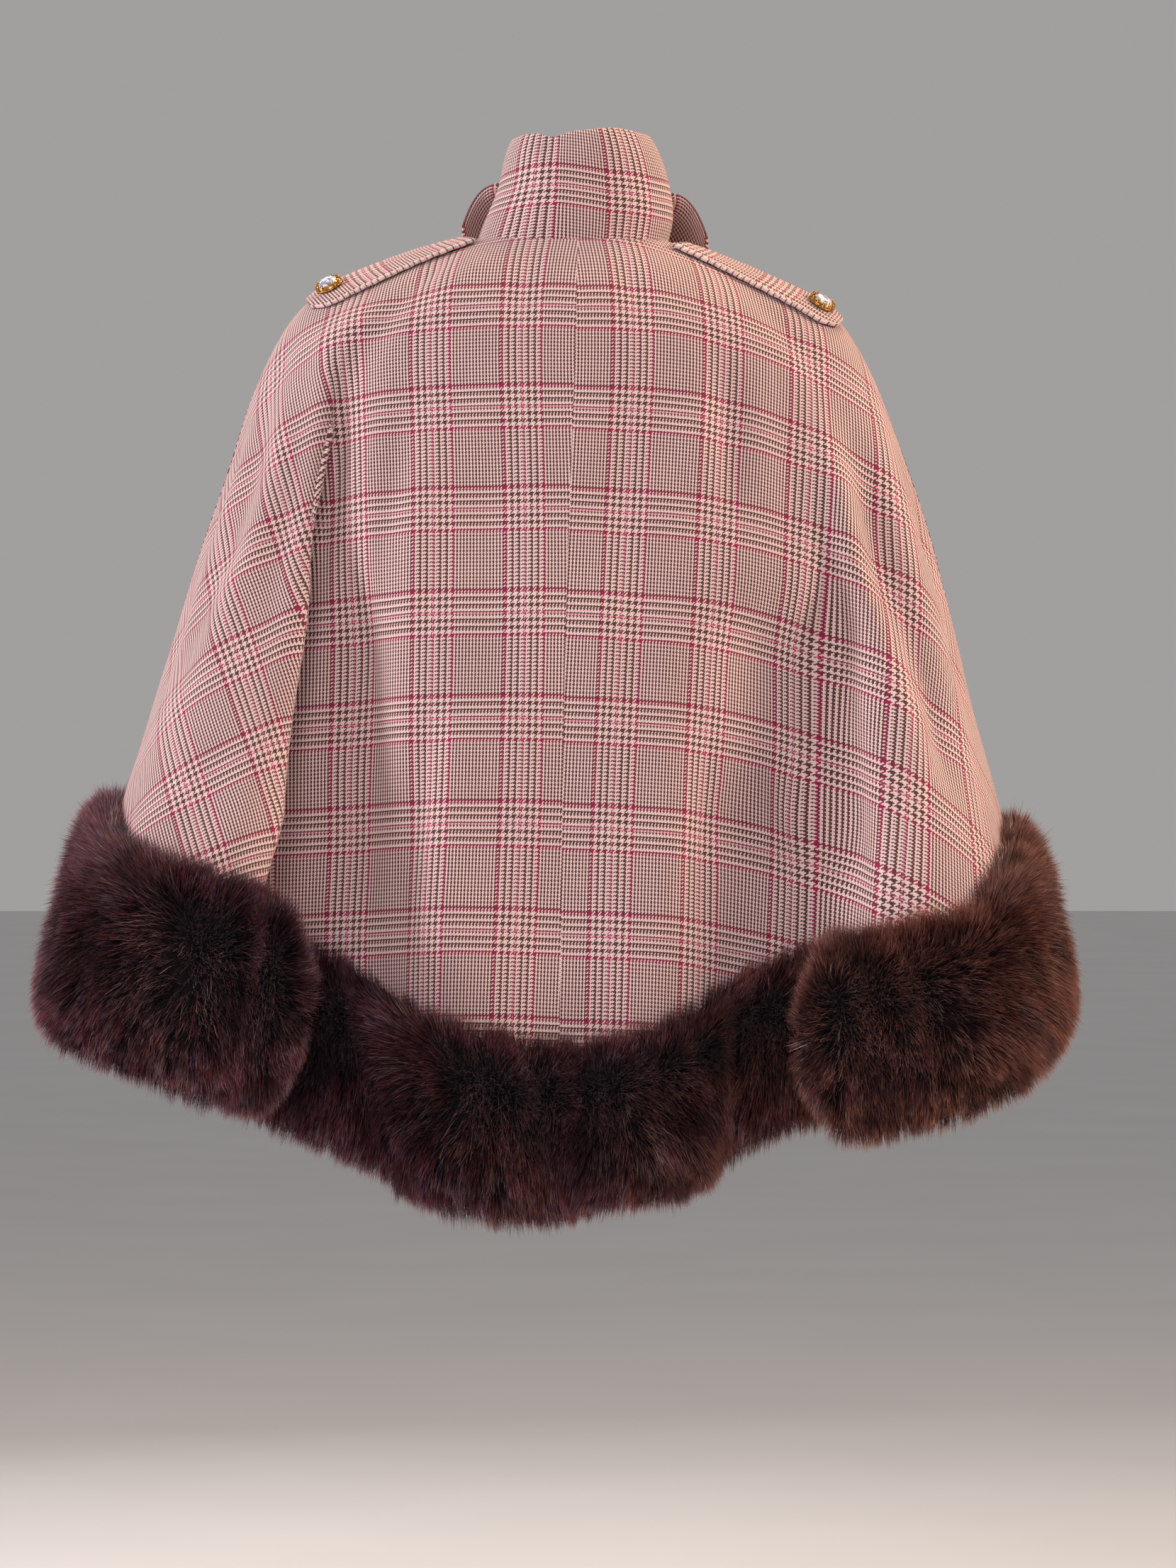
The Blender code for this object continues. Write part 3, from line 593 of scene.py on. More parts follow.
def ripple(points, normals):
    """Slight unevenness of hanging cloth."""
    x, y, z = points[..., 0], points[..., 1], points[..., 2]
    wave = np.sin(x * 61 + z * 17 + 1.3) * np.sin(y * 55 - z * 23)
    wave = wave + np.sin(x * 33 - z * 41 + 4) * np.sin(y * 71 + z * 12)
    fade = np.clip(-z / 0.12, 0, 1)
    return points + normals * (wave * fade * RIPPLE)[..., None]


# Materials


class Nodes:
    """Short calls for a material's nodes."""

    def __init__(self, name):
        self.material = bpy.data.materials.new(name)
        self.material.use_nodes = True
        self.tree = self.material.node_tree
        self.shader = self.tree.nodes["Principled BSDF"]

    def add(self, kind, **values):
        node = self.tree.nodes.new(kind)
        for key, value in values.items():
            setattr(node, key, value)
        return node

    def link(self, source, target):
        self.tree.links.new(source, target)

    def feed(self, value, target):
        if isinstance(value, bpy.types.NodeSocket):
            self.link(value, target)
        else:
            target.default_value = value

    def math(self, operation, a, b=0.0, c=0.0):
        node = self.add("ShaderNodeMath", operation=operation)
        for value, target in zip((a, b, c), node.inputs):
            self.feed(value, target)
        return node.outputs[0]

    def mix(self, share, a, b, blend="MIX"):
        node = self.add("ShaderNodeMix", data_type="RGBA", blend_type=blend)
        self.feed(share, node.inputs["Factor"])
        for value, target in ((a, node.inputs[6]), (b, node.inputs[7])):
            self.feed((*value, 1) if isinstance(value, tuple) else value, target)
        return node.outputs[2]

    def ramp(self, value, stops):
        node = self.add("ShaderNodeValToRGB")
        elements = node.color_ramp.elements
        while len(elements) < len(stops):
            elements.new(0.5)
        for element, (place, colour) in zip(elements, stops):
            element.position = place
            element.color = (*colour, 1)
        self.feed(value, node.inputs[0])
        return node.outputs[0]

    def split(self, vector):
        parts = self.add("ShaderNodeSeparateXYZ")
        self.link(vector, parts.inputs[0])
        return tuple(parts.outputs)

    def uv(self, title):
        return self.split(self.add("ShaderNodeUVMap", uv_map=title).outputs[0])

    def spot(self):
        return self.add("ShaderNodeTexCoord").outputs["Object"]

    def noise(self, scale, detail=2.0):
        node = self.add("ShaderNodeTexNoise")
        node.inputs["Scale"].default_value = scale
        node.inputs["Detail"].default_value = detail
        self.link(self.spot(), node.inputs["Vector"])
        return node.outputs[0]

    def bump(self, height, distance, strength=1.0):
        node = self.add("ShaderNodeBump")
        node.inputs["Distance"].default_value = distance
        node.inputs["Strength"].default_value = strength
        self.link(height, node.inputs["Height"])
        self.drive("Normal", node.outputs[0])

    def drive(self, title, value):
        """Feeds one of the shader's sockets from a node."""
        self.link(value, self.shader.inputs[title])

    def set(self, **values):
        for key, value in values.items():
            self.shader.inputs[key.replace("_", " ")].default_value = value


YARNS = {"dark": "#4a2327", "light": "#713c3b", "cream": "#f5dcd6", "burgundy": "#a30f50", "pink": "#e8799a"}
FIBRE_TONES = ((0.25, (0.62, 0.60, 0.60)), (0.75, (1.0, 1.0, 1.0)))
HEATHER_TONES = ((0.3, (0.93, 0.90, 0.90)), (0.7, (1.0, 0.99, 0.98)))
SHADE = "#2a1a1a"
# A hair's colours from root to tip, for red, cool and warm hairs.
HAIR_STOPS = (0.0, 0.4, 0.75, 1.0)
HAIR_TONES = (
    ("#050203", "#1f0a0f", "#501e27", "#a65c60"),
    ("#040204", "#140811", "#382231", "#b6a2ba"),
    ("#070303", "#280e0d", "#683026", "#c88860"),
)
# painted highlight: the colour that the tips of a few hairs turn to, for light glancing off them
GLINT = "#b88f80"
HAIR_DEPTHS = ((0.36, (0.42, 0.38, 0.40)), (0.6, (1.0, 1.0, 1.0)))
# painted reflection: the stone's colours, from blue-grey to white, for the light its facets throw back
PAINTED_FLASH_TONES = ((0.25, "#8c97b4"), (0.6, "#e2e8f4"), (0.85, "#ffffff"))


def yarn(nodes, index, other):
    """The colour of a thread by its place in the repeat, where other is its brown."""
    k = nodes.math("FLOORED_MODULO", index, float(REPEAT))

    def stripe(width):
        return nodes.math("FLOORED_MODULO", nodes.math("FLOOR", nodes.math("DIVIDE", k, width)), 2.0)

    def near(middle, half):
        away = nodes.math("ABSOLUTE", nodes.math("SUBTRACT", k, middle))
        return nodes.math("LESS_THAN", away, half)

    fours = nodes.math("LESS_THAN", k, FOURS - 0.5)
    cream_four = nodes.math("MULTIPLY", fours, stripe(4.0))
    by_two = nodes.math("SUBTRACT", 1.0, stripe(2.0))
    cream_two = nodes.math("MULTIPLY", nodes.math("SUBTRACT", 1.0, fours), by_two)
    cream = nodes.math("ADD", cream_four, cream_two)
    middle = LINE_HALF - 0.5
    line = nodes.math("MAXIMUM", near(middle, LINE_HALF), near(FOURS + middle, LINE_HALF))
    colour = nodes.mix(cream, other, srgb(YARNS["cream"]))
    colour = nodes.mix(near(PINK_MIDDLE, PINK_HALF), colour, srgb(YARNS["pink"]))
    return nodes.mix(line, colour, srgb(YARNS["burgundy"]))


def tweed_material(name, dark=0.0):
    """Two by two twill: which thread lies on top moves on by one from row to row."""
    nodes = Nodes(name)
    u, v, _ = nodes.uv("Threads")
    across = nodes.math("MULTIPLY", u, float(REPEAT))
    down = nodes.math("MULTIPLY", v, -float(REPEAT))
    i, j = nodes.math("FLOOR", across), nodes.math("FLOOR", down)
    brown = nodes.mix(nodes.noise(38.0, 3.0), srgb(YARNS["dark"]), srgb(YARNS["light"]))
    warp, weft = yarn(nodes, i, brown), yarn(nodes, j, brown)
    beat = nodes.math("FLOORED_MODULO", nodes.math("ADD", i, j), 4.0)
    on_top = nodes.math("GREATER_THAN", beat, 1.5)
    fibres, heather = nodes.noise(2400.0), nodes.noise(9.0, 3.0)
    colour = nodes.mix(on_top, weft, warp)
    colour = nodes.mix(0.75, colour, nodes.ramp(fibres, FIBRE_TONES), "MULTIPLY")
    colour = nodes.mix(1.0, colour, nodes.ramp(heather, HEATHER_TONES), "MULTIPLY")
    # painted shade: where dark is given, as for the wings, the cloth's colour is mixed towards SHADE for the
    # shade it hangs in
    if dark:
        colour = nodes.mix(dark, colour, srgb(SHADE))
    nodes.drive("Base Color", colour)
    # the round back of the thread on top; the colour mix carries plain numbers here
    thread = nodes.math("FRACT", nodes.mix(on_top, across, down))
    away = nodes.math("ABSOLUTE", nodes.math("MULTIPLY_ADD", thread, 2.0, -1.0))
    hump = nodes.math("SUBTRACT", 1.0, nodes.math("POWER", away, 2.0))
    height = nodes.math("MULTIPLY_ADD", nodes.noise(700.0, 3.0), 0.8, hump)
    nodes.bump(height, 0.16 * MM, 0.6)
    nodes.drive("Roughness", nodes.math("MULTIPLY_ADD", fibres, 0.12, 0.82))
    nodes.set(Specular_IOR_Level=0.25, Sheen_Weight=0.22, Sheen_Roughness=0.55)
    nodes.set(Sheen_Tint=(1.0, 0.86, 0.8, 1))
    return nodes.material


def fur_material():
    """Hair: v runs from root to tip and u is a number of each hair's own, on the map Hair."""
    nodes = Nodes("fur_hair")
    own, along, _ = nodes.uv("Hair")
    x, _, _ = nodes.split(nodes.spot())
    red, cool, warm = (
        nodes.ramp(along, [(stop, srgb(tone)) for stop, tone in zip(HAIR_STOPS, tones)])
        for tones in HAIR_TONES
    )
    # partly painted sheen: the hair turns warmer towards -X, the side the warm lamp lights, besides random
    # warm patches
    side = nodes.math("MULTIPLY_ADD", x, -2.2, 0.18)
    patchy = nodes.math("MULTIPLY_ADD", nodes.noise(22.0, 3.0), 1.6, -0.75)
    warm_patches_and_sheen = nodes.add("ShaderNodeClamp")
    nodes.link(nodes.math("ADD", side, patchy), warm_patches_and_sheen.inputs[0])
    coolness = nodes.math("GREATER_THAN", own, 0.62)
    colour = nodes.mix(nodes.math("MULTIPLY", coolness, 0.8), red, cool)
    colour = nodes.mix(nodes.math("MULTIPLY", warm_patches_and_sheen.outputs[0], 0.8), colour, warm)
    # painted highlight: the tips of some clumps turn towards GLINT, standing in for light glancing off them
    glint_hairs = nodes.math("GREATER_THAN", own, 0.86)
    glint = nodes.math("MULTIPLY", glint_hairs, nodes.math("MULTIPLY", along, 0.8))
    colour = nodes.mix(glint, colour, srgb(GLINT))
    depths = nodes.ramp(nodes.noise(31.0, 3.0), HAIR_DEPTHS)
    nodes.drive("Base Color", nodes.mix(1.0, colour, depths, "MULTIPLY"))
    nodes.drive("Roughness", nodes.math("MULTIPLY_ADD", own, 0.2, 0.30))
    nodes.set(Specular_IOR_Level=0.45, Sheen_Weight=0.1, Sheen_Roughness=0.4)
    return nodes.material


def core_material():
    nodes = Nodes("fur_core")
    tones = ((0.3, srgb("#0b0506")), (0.7, srgb("#1c0f11")))
    nodes.drive("Base Color", nodes.ramp(nodes.noise(60.0, 4.0), tones))
    nodes.bump(nodes.noise(900.0), 0.8 * MM)
    nodes.set(Roughness=0.9, Specular_IOR_Level=0.2)
    return nodes.material


def gold_material():
    nodes = Nodes("gold_bezel")
    worn = nodes.noise(420.0, 3.0)
    nodes.drive("Base Color", nodes.ramp(worn, ((0.3, srgb("#9a6428")), (0.7, srgb("#d9a862")))))
    nodes.drive("Roughness", nodes.math("MULTIPLY_ADD", worn, 0.2, 0.16))
    nodes.set(Metallic=1.0)
    return nodes.material


def stone_material():
    nodes = Nodes("cut_stone")
    # painted reflection: cells of blue-grey to white over the stone stand in for the light its facets reflect
    # and bend
    painted_flash = nodes.add("ShaderNodeTexVoronoi")
    painted_flash.inputs["Scale"].default_value = 330.0
    nodes.link(nodes.spot(), painted_flash.inputs["Vector"])
    tones = [(stop, srgb(tone)) for stop, tone in PAINTED_FLASH_TONES]
    nodes.drive("Base Color", nodes.ramp(painted_flash.outputs["Color"], tones))
    nodes.set(Roughness=0.04, IOR=1.7, Specular_IOR_Level=0.9, Coat_Weight=1.0, Coat_Roughness=0.02)
    return nodes.material


def floor_material():
    nodes = Nodes("pale_floor")
    tones = ((0.2, (0.66, 0.66, 0.66)), (0.8, (0.70, 0.70, 0.70)))
    nodes.drive("Base Color", nodes.ramp(nodes.noise(2.0), tones))
    nodes.set(Roughness=0.9, Specular_IOR_Level=0.1)
    return nodes.material


def finish_piece(obj, node, slot, *materials):
    for material in materials:
        obj.data.materials.append(material)
    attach(obj, "root")
    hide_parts(node)


# Panels

PANELS = (
    # name          from            to              step  back
    ("back_left",   "centre_back",  "side_left",    5.2,  True),
    ("front_left",  "side_left",    "centre_front", 6.6,  False),
    ("front_right", "centre_front", "side_right",   6.6,  False),
    ("back_right",  "side_right",   "centre_back",  5.2,  True),
)

PANEL_DOWN = 0.66  # about how long a panel is, for the number of its rows
SEAM_REACH = 0.12  # how far along the hem the centre seam's lean is felt
SIDE_STEP = 4 * MM  # the step along the hem by which the cloth's width is measured


def seam_shift(rows):
    """How far along the hem the centre-back seam lies from the middle, at each row."""
    middle = cloth([0.0], rows)[0]
    width = (cloth([SIDE_STEP], rows)[0] - middle)[:, 0] / SIDE_STEP
    seen = picture(middle)
    column = np.interp(seen[:, 1], *zip(*SEAM_PICTURE))
    scale = (AWAY + PLANE_Y - middle[:, 1]) / AWAY * PIXEL
    return (seen[:, 0] - column) * scale / np.maximum(width, 0.12)


def make_panel(name, start, end, step, back):
    low, high = LINE.span(start, end)
    columns = np.linspace(low, high, round((high - low) / (step * MM)) + 1)
    rows = np.linspace(0, FULL_LENGTH, round(PANEL_DOWN / (step * MM)) + 1)
    places = np.repeat(columns[:, None], len(rows), axis=1)
    if back:
        from_seam = np.abs((columns + LINE.length / 2) % LINE.length - LINE.length / 2)
        places = places + seam_shift(rows)[None, :] * np.exp(-((from_seam / SEAM_REACH) ** 2))[:, None]
    outer = np.stack([cloth(places[:, j], [down])[:, 0] for j, down in enumerate(rows)], axis=1)
    if name == "back_left":
        fold = LINE.at_turn(LOBE_TURN)
        seen = picture(cloth([fold], rows)[0])
        shift = np.interp(seen[:, 1], *zip(*LOBE_EDGE)) - seen[:, 0]
        shift *= np.clip((seen[:, 1] - 420) / 120, 0, 1) * np.clip((FULL_LENGTH - rows) / 0.6, 0, 1)
        outer[..., 0] -= shift * PIXEL * np.exp(-(((columns - fold) / LOBE_REACH) ** 2))[:, None]
    return {"name": name, "outer": outer, "back": back, "columns": columns, "rows": rows}


def at_centre(panel):
    """The column of a panel that lies on the centre back or the centre front."""
    return 0 if panel["name"] in ("back_left", "front_right") else -1


def panel_flat(panel):
    """The panel's flat cut on its fine grid: across to the viewer's right and up, from the seam's top."""
    outer = panel["outer"]
    columns = np.unique(np.linspace(0, outer.shape[0] - 1, FLAT_COLUMNS).round().astype(int))
    rows = np.unique(np.linspace(0, outer.shape[1] - 1, FLAT_ROWS).round().astype(int))
    flat = flat_cut(outer[np.ix_(columns, rows)])
    seam = at_centre(panel)
    line = flat[seam]
    way = unit(line[-1] - line[0])
    turn = np.array([[-way[1], way[0]], [-way[0], -way[1]]])
    flat = (flat - line[0]) @ turn.T
    if flat[..., 0].mean() * (1 if seam == -1 else -1) < 0:
        flat[..., 0] *= -1
    wide = np.linspace(0, 1, outer.shape[0])
    long = np.linspace(0, 1, outer.shape[1])
    by_column = spline_matrix(columns / (outer.shape[0] - 1), wide)
    by_row = spline_matrix(rows / (outer.shape[1] - 1), long)
    return np.einsum("ci,rj,ijk->crk", by_column, by_row, flat)


def charted(at, marks, threads, pitch):
    """Thread numbers read between marks, and at the plain spacing beyond them."""
    found = np.interp(at, marks, threads)
    found = np.where(at < marks[0], threads[0] + (at - marks[0]) / pitch, found)
    return np.where(at > marks[-1], threads[-1] + (at - marks[-1]) / pitch, found)


def cross_thread(flat_down, outer_seam, flat_seam):
    """Weft thread numbers by how far down the flat cut, so that the centre back shows the charted lines."""
    rows, threads = zip(*CROSS_LINES)
    seen = picture(outer_seam)[:, 1]
    along = -flat_seam[:, 1]
    order = np.argsort(seen)
    marks = np.interp(rows, seen[order], along[order])
    keep = [0] + [i for i in range(1, len(marks)) if marks[i] > marks[i - 1] + 1 * MM]
    return charted(flat_down, marks[keep], np.array(threads, float)[keep], DOWN)


# How the grain falls towards each arm: the angle and how much steeper the weft runs there.
GRAIN_FALL = {
    "back_left": ((0, 0.0), (36, 0.04), (50, 0.10), (57, 0.26), (72, 0.36), (90, 0.42)),
    "back_right": (
        (270, 0.52), (285, 0.50), (300, 0.44), (311, 0.36), (322, 0.24), (334, 0.13), (346, 0.03), (360, 0.0),
    ),
}
# How the warp leans on the lobes: from and to by the angle, and the slope.
GRAIN_LEAN = {"back_left": (50, 57, 0.12), "back_right": (322, 294, 0.07)}


def grain(panel):
    """Threads added across and down where the cloth hangs towards an arm."""
    name, flat, columns = panel["name"], panel["flat"], panel["columns"]
    if name not in GRAIN_FALL:
        return 0, 0
    turn = LINE.read(columns)["turn"]
    slope = np.interp(turn, *zip(*GRAIN_FALL[name]))
    step = np.abs(np.diff(flat[..., 0], axis=0)) * ((slope[1:] + slope[:-1]) / 2)[:, None]
    fall = np.vstack([np.zeros((1, step.shape[1])), np.cumsum(step, axis=0)])
    if name == "back_right":
        fall = fall[-1] - fall
    start, end, lean = GRAIN_LEAN[name]
    share = smooth(np.clip((turn - start) / (end - start), 0, 1)[:, None])
    depth = np.clip(-flat[..., 1] - 0.12, 0, None)
    return -lean * depth * share / ACROSS, -fall / DOWN


def panel_threads(panel):
    """The map Threads all over a panel: warp and weft thread numbers in repeats."""
    name, flat, seam = panel["name"], panel["flat"], at_centre(panel)
    if panel["back"]:
        lower = RIGHT_LOWER if name.endswith("right") else 0.0
        j = cross_thread(-flat[..., 1] - lower, panel["outer"][seam], flat[seam])
    else:
        j = -flat[..., 1] / DOWN - FRONT_START
    if name.endswith("left") == panel["back"]:
        i = FOURS + (flat[..., 0] - LEFT_LINE) / ACROSS + LINE_HALF
    else:
        i = REPEAT + (flat[..., 0] - RIGHT_LINE) / ACROSS + LINE_HALF
    lean_i, lean_j = grain(panel)
    return np.stack([(i + lean_i) / REPEAT, -(j + lean_j) / REPEAT], axis=-1)


def dress_panels():
    tweed = tweed_material("tweed")
    for row in PANELS:
        panel = make_panel(*row)
        flat = panel["flat"] = panel_flat(panel)
        normals = grid_normals(panel["outer"])
        outer = eased(ripple(creased(panel, normals), normals))
        inner = outer - grid_normals(outer) * TWEED
        threads = panel_threads(panel)
        low, high = flat.reshape(-1, 2).min(0), flat.reshape(-1, 2).max(0)
        size = high - low
        half = (flat - low) / size.max() * 0.5
        maps = (("Threads", threads, threads), ("OFBake", half, half + [0.5, 0]))
        obj = wall("tweed_" + panel["name"], outer, inner, maps)
        finish_piece(obj, panel["name"], "tweed", tweed)


# The collar


def bump_at(x, shape):
    return shape["deep"] * np.exp(-(((x - shape["at"]) / shape["wide"]) ** 2))


def collar_share(turn):
    angle = np.degrees(np.arccos(np.cos(np.radians(turn))))
    fold = np.where(np.sin(np.radians(turn)) >= 0, FOLD_SHARE["left"], FOLD_SHARE["right"])
    ease = smooth(np.clip((angle - FOLD_FROM) / (FOLD_TO - FOLD_FROM), 0, 1))
    front = np.clip((angle - FOLD_TO) / (COLLAR_END - FOLD_TO), 0, 1)
    folded = fold + (FOLD_FRONT_SHARE - fold) * front
    return 1 + (folded - 1) * ease


def collar_points(turn, up):
    turn = np.asarray(turn, float)
    rings = np.array([on_ring(ring, turn, RING_POWER) for ring in COLLAR_RINGS])
    knots = [ring[1] for ring in COLLAR_RINGS]
    points = np.empty((len(turn), np.shape(up)[-1], 3))
    shares = np.broadcast_to(up, points.shape[:2])
    for i in range(len(turn)):
        points[i] = spline_matrix(knots, shares[i]) @ rings[:, i]
    back = np.clip(np.cos(np.radians(turn)), 0, 1)[:, None]
    wave = (bump_at(points[..., 0], TOP_DIP) + bump_at(points[..., 0], TOP_CREST)) * back
    points[..., 2] += wave * shares**3
    return points * MM


DENTS = (
    # angle  up    wide  high  deep, in degrees, shares of the height and mm
    (17,     0.86,  12,  0.13,  3.0),
    (-20,    0.80,  16,  0.20, -1.6),
    (52,     0.45,  12,  0.30,  1.4),
    (-58,    0.40,  12,  0.30,  1.6),
    (30,     0.12,  22,  0.12,  1.2),
    (-34,    0.10,  22,  0.12,  1.2),
)


# The collar's check at the back: picture column and thread, then x and how much higher it lies, in mm.
COLLAR_MARKS = ((727, 2), (785, FOURS + 2), (858, REPEAT + 2), (916, REPEAT + FOURS + 2))
COLLAR_RISE = ((-76, -1.8), (-31, -3.4), (8, 1.6), (56, 4.0))
COLLAR_COLUMNS, COLLAR_ROWS = 168, 34
COLLAR_MIDDLE_ROW = 17
COLLAR_LINE_UP = 57 * MM  # where the burgundy line lies above the seam at the centre back
COLLAR_LINE_SIDES = 8 * MM  # how much lower it lies at the sides
COLLAR_DOWN = 0.645 * MM

WING_CLOTH = 4.2 * MM
WING_THREAD = 0.8 * MM
WING_COLUMNS, WING_ROWS = 40, 26
WING_MIDDLE_COLUMN, WING_MIDDLE_ROW = 8, 12
WING_I, WING_J = 54, REPEAT + 4
WING_SHADE = 0.1


def collar_threads(turn, outer, girth):
    """Warp thread numbers round the collar, by its length from the viewer's left to right."""
    near = np.abs(turn) < 75
    seen = picture(outer[near, COLLAR_MIDDLE_ROW])[:, 0]
    order = np.argsort(seen)
    columns, threads = zip(*COLLAR_MARKS)
    marks = np.interp(columns, seen[order], -girth[near][order])
    return charted(-girth, marks, threads, ACROSS)


def make_collar():
    turn = np.linspace(-COLLAR_END, COLLAR_END, COLLAR_COLUMNS)
    up = np.linspace(1, 0, COLLAR_ROWS)[None, :] * collar_share(turn)[:, None]
    outer = collar_points(turn, up)
    facing = grid_normals(outer)
    move = np.zeros(outer.shape[:2])
    for angle, high, wide, tall, deep in DENTS:
        move -= deep * MM * np.exp(-(((turn[:, None] - angle) / wide) ** 2) - ((up - high) / tall) ** 2)
    outer = outer + facing * move[..., None]
    facing = grid_normals(outer)
    for edge in (0, -1):
        facing[:, edge] = unit(facing[:, edge] * [1, 1, 0])
    inner = outer - facing * COLLAR_CLOTH
    round_edge(outer, inner)
    girth = lengths(outer[:, COLLAR_MIDDLE_ROW])
    i = collar_threads(turn, outer, girth)
    back = np.clip(np.cos(np.radians(turn)), 0, 1)[:, None] ** 0.3
    rise = outer[..., 2] + COLLAR_LINE_SIDES * np.sin(np.radians(turn))[:, None] ** 2
    rise = rise - np.interp(outer[..., 0] / MM, *zip(*COLLAR_RISE)) * MM * back
    j = (COLLAR_LINE_UP - rise) / COLLAR_DOWN + LINE_HALF
    threads = np.stack([np.repeat(i[:, None], COLLAR_ROWS, 1) / REPEAT, -j / REPEAT], axis=-1)
    bake = bake_grid(COLLAR_COLUMNS, COLLAR_ROWS, (0.01, 0.99), (0.49, 0.01))
    maps = (("Threads", threads, threads), ("OFBake", bake, bake + [0, 0.5]))
    obj = wall("tweed_collar", outer, inner, maps)
    finish_piece(obj, "collar", "tweed_double", tweed_material("tweed_collar"))


def round_edge(outer, inner):
    """Softens a wall's free top edge."""
    middle = (outer[:, 0] + inner[:, 0]) / 2
    for grid in (outer, inner):
        grid[:, 0] += (middle - grid[:, 0]) * 0.55
        grid[:, 1] += (middle - grid[:, 1]) * [0.036, 0.036, 0]


def make_wing(side, start, end, out_back, down_back, out_front, down_front):
    turn = np.linspace(start, end, WING_COLUMNS)
    fold = collar_points(turn, collar_share(turn)[:, None])[:, 0]
    outward = unit(fold * [1, 1, 0])
    along = np.linspace(0, 1, WING_COLUMNS)[:, None]
    down = np.linspace(0, 1, WING_ROWS)[None, :]
    back_round = 0.16 * np.maximum(0, 1 - along / 0.16) ** 2
    front_round = 0.3 * np.maximum(0, (along - 0.8) / 0.2) ** 2
    reach = down * (1 - back_round - front_round)
    out = (out_back + (out_front - out_back) * along) * reach**WING_ROLL * MM
    outer = fold[:, None] + outward[:, None] * (out + 0.5 * MM)[..., None]
    outer[..., 2] -= (down_back + (down_front - down_back) * along) * reach**1.4 * MM
    facing = grid_normals(outer) * (-1 if side == "right" else 1)
    edge = np.minimum(np.minimum(along, 1 - along) / 0.12, np.minimum(down, 1 - down) / 0.14)
    thick = WING_CLOTH * (0.35 + 0.65 * np.sqrt(np.clip(edge, 0, 1)))
    inner = outer - facing * thick[..., None]
    inner[:, 0] = outer[:, 0] + outward * 2.2 * MM - [0, 0, 3.6 * MM]
    length, fall = lengths(outer[:, WING_MIDDLE_ROW]), lengths(outer[WING_MIDDLE_COLUMN])
    i = WING_I + length / WING_THREAD
    j = WING_J - (fall[-1] - fall) / WING_THREAD
    threads = np.stack(np.meshgrid(i / REPEAT, -j / REPEAT, indexing="ij"), axis=-1)
    bake = bake_grid(WING_COLUMNS, WING_ROWS, (0.01, 0.49), (0.99, 0.01))
    maps = (("Threads", threads, threads), ("OFBake", bake, bake + [0.5, 0]))
    obj = wall("tweed_wing_" + side, outer, inner, maps)
    tweed = tweed_material("tweed_wing_" + side, WING_SHADE)
    finish_piece(obj, "collar_wing_" + side, "tweed_double", tweed)


# Straps and buttons


def cloth_normals(s, down):
    s, down = np.asarray(s, float), np.asarray(down, float)
    ds, dd = 1.5 * MM, 0.02
    along = cloth(s + ds, down) - cloth(s - ds, down)
    low, high = np.clip(down - dd, 0, None), np.clip(down + dd, None, FULL_LENGTH)
    return unit(np.cross(along, cloth(s, high) - cloth(s, low)))


def strap_form(seam, start, end, half):
    """A strap's middle along the hem, its rows down the cloth, its half widths and its lengths."""
    down = start + (end - start) * np.linspace(0, 1, STRAP_ROWS)
    middle = LINE.place[seam]
    centre = cloth([middle], down)[0]
    length = lengths(centre)
    rounded = np.clip(1 - (length[-1] - length) / STRAP_END, 0, 1)
    width = half * MM * (1 - 0.62 * rounded**2.4)
    per_metre = np.linalg.norm(cloth([middle + SIDE_STEP], down)[0] - centre, axis=1) / SIDE_STEP
    return middle, down, width / per_metre, length


def strap_maps(tube, length, edge, ends):
    """A strap's two maps by face corner; its turned edges show the threads in fours all along."""
    columns, rows = tube.shape[:2]
    around = lengths(np.vstack([tube[:, STRAP_MIDDLE_ROW], tube[:1, STRAP_MIDDLE_ROW]]))
    i_top, j_top = (length / ACROSS + 8) / REPEAT, around / DOWN / REPEAT
    i_edge = (4 + np.abs(length / ACROSS % 80 - 40)) / REPEAT
    threads, bake = [], []
    for c in range(columns):
        turned = edge[c] and edge[(c + 1) % columns]
        for r in range(rows - 1):
            for a, b in ((0, 0), (0, 1), (1, 1), (1, 0)):
                on_edge = (i_edge[r + b], -(6 + 1.5 * a) / REPEAT)
                threads.append(on_edge if turned else (i_top[r + b], -j_top[c + a]))
                bake.append((0.01 + 0.97 * (r + b) / (rows - 1), 0.01 + 0.88 * (c + a) / columns))
    for end_face in ends:
        for point in end_face:
            c, r = divmod(point, rows)
            threads.append((i_top[r], -j_top[c]))
            turn = c * 0.13
            bake.append((0.05 + 0.05 * (r > 0) + 0.03 * math.cos(turn), 0.95 + 0.03 * math.sin(turn)))
    return ("Threads", np.array(threads)), ("OFBake", np.array(bake))


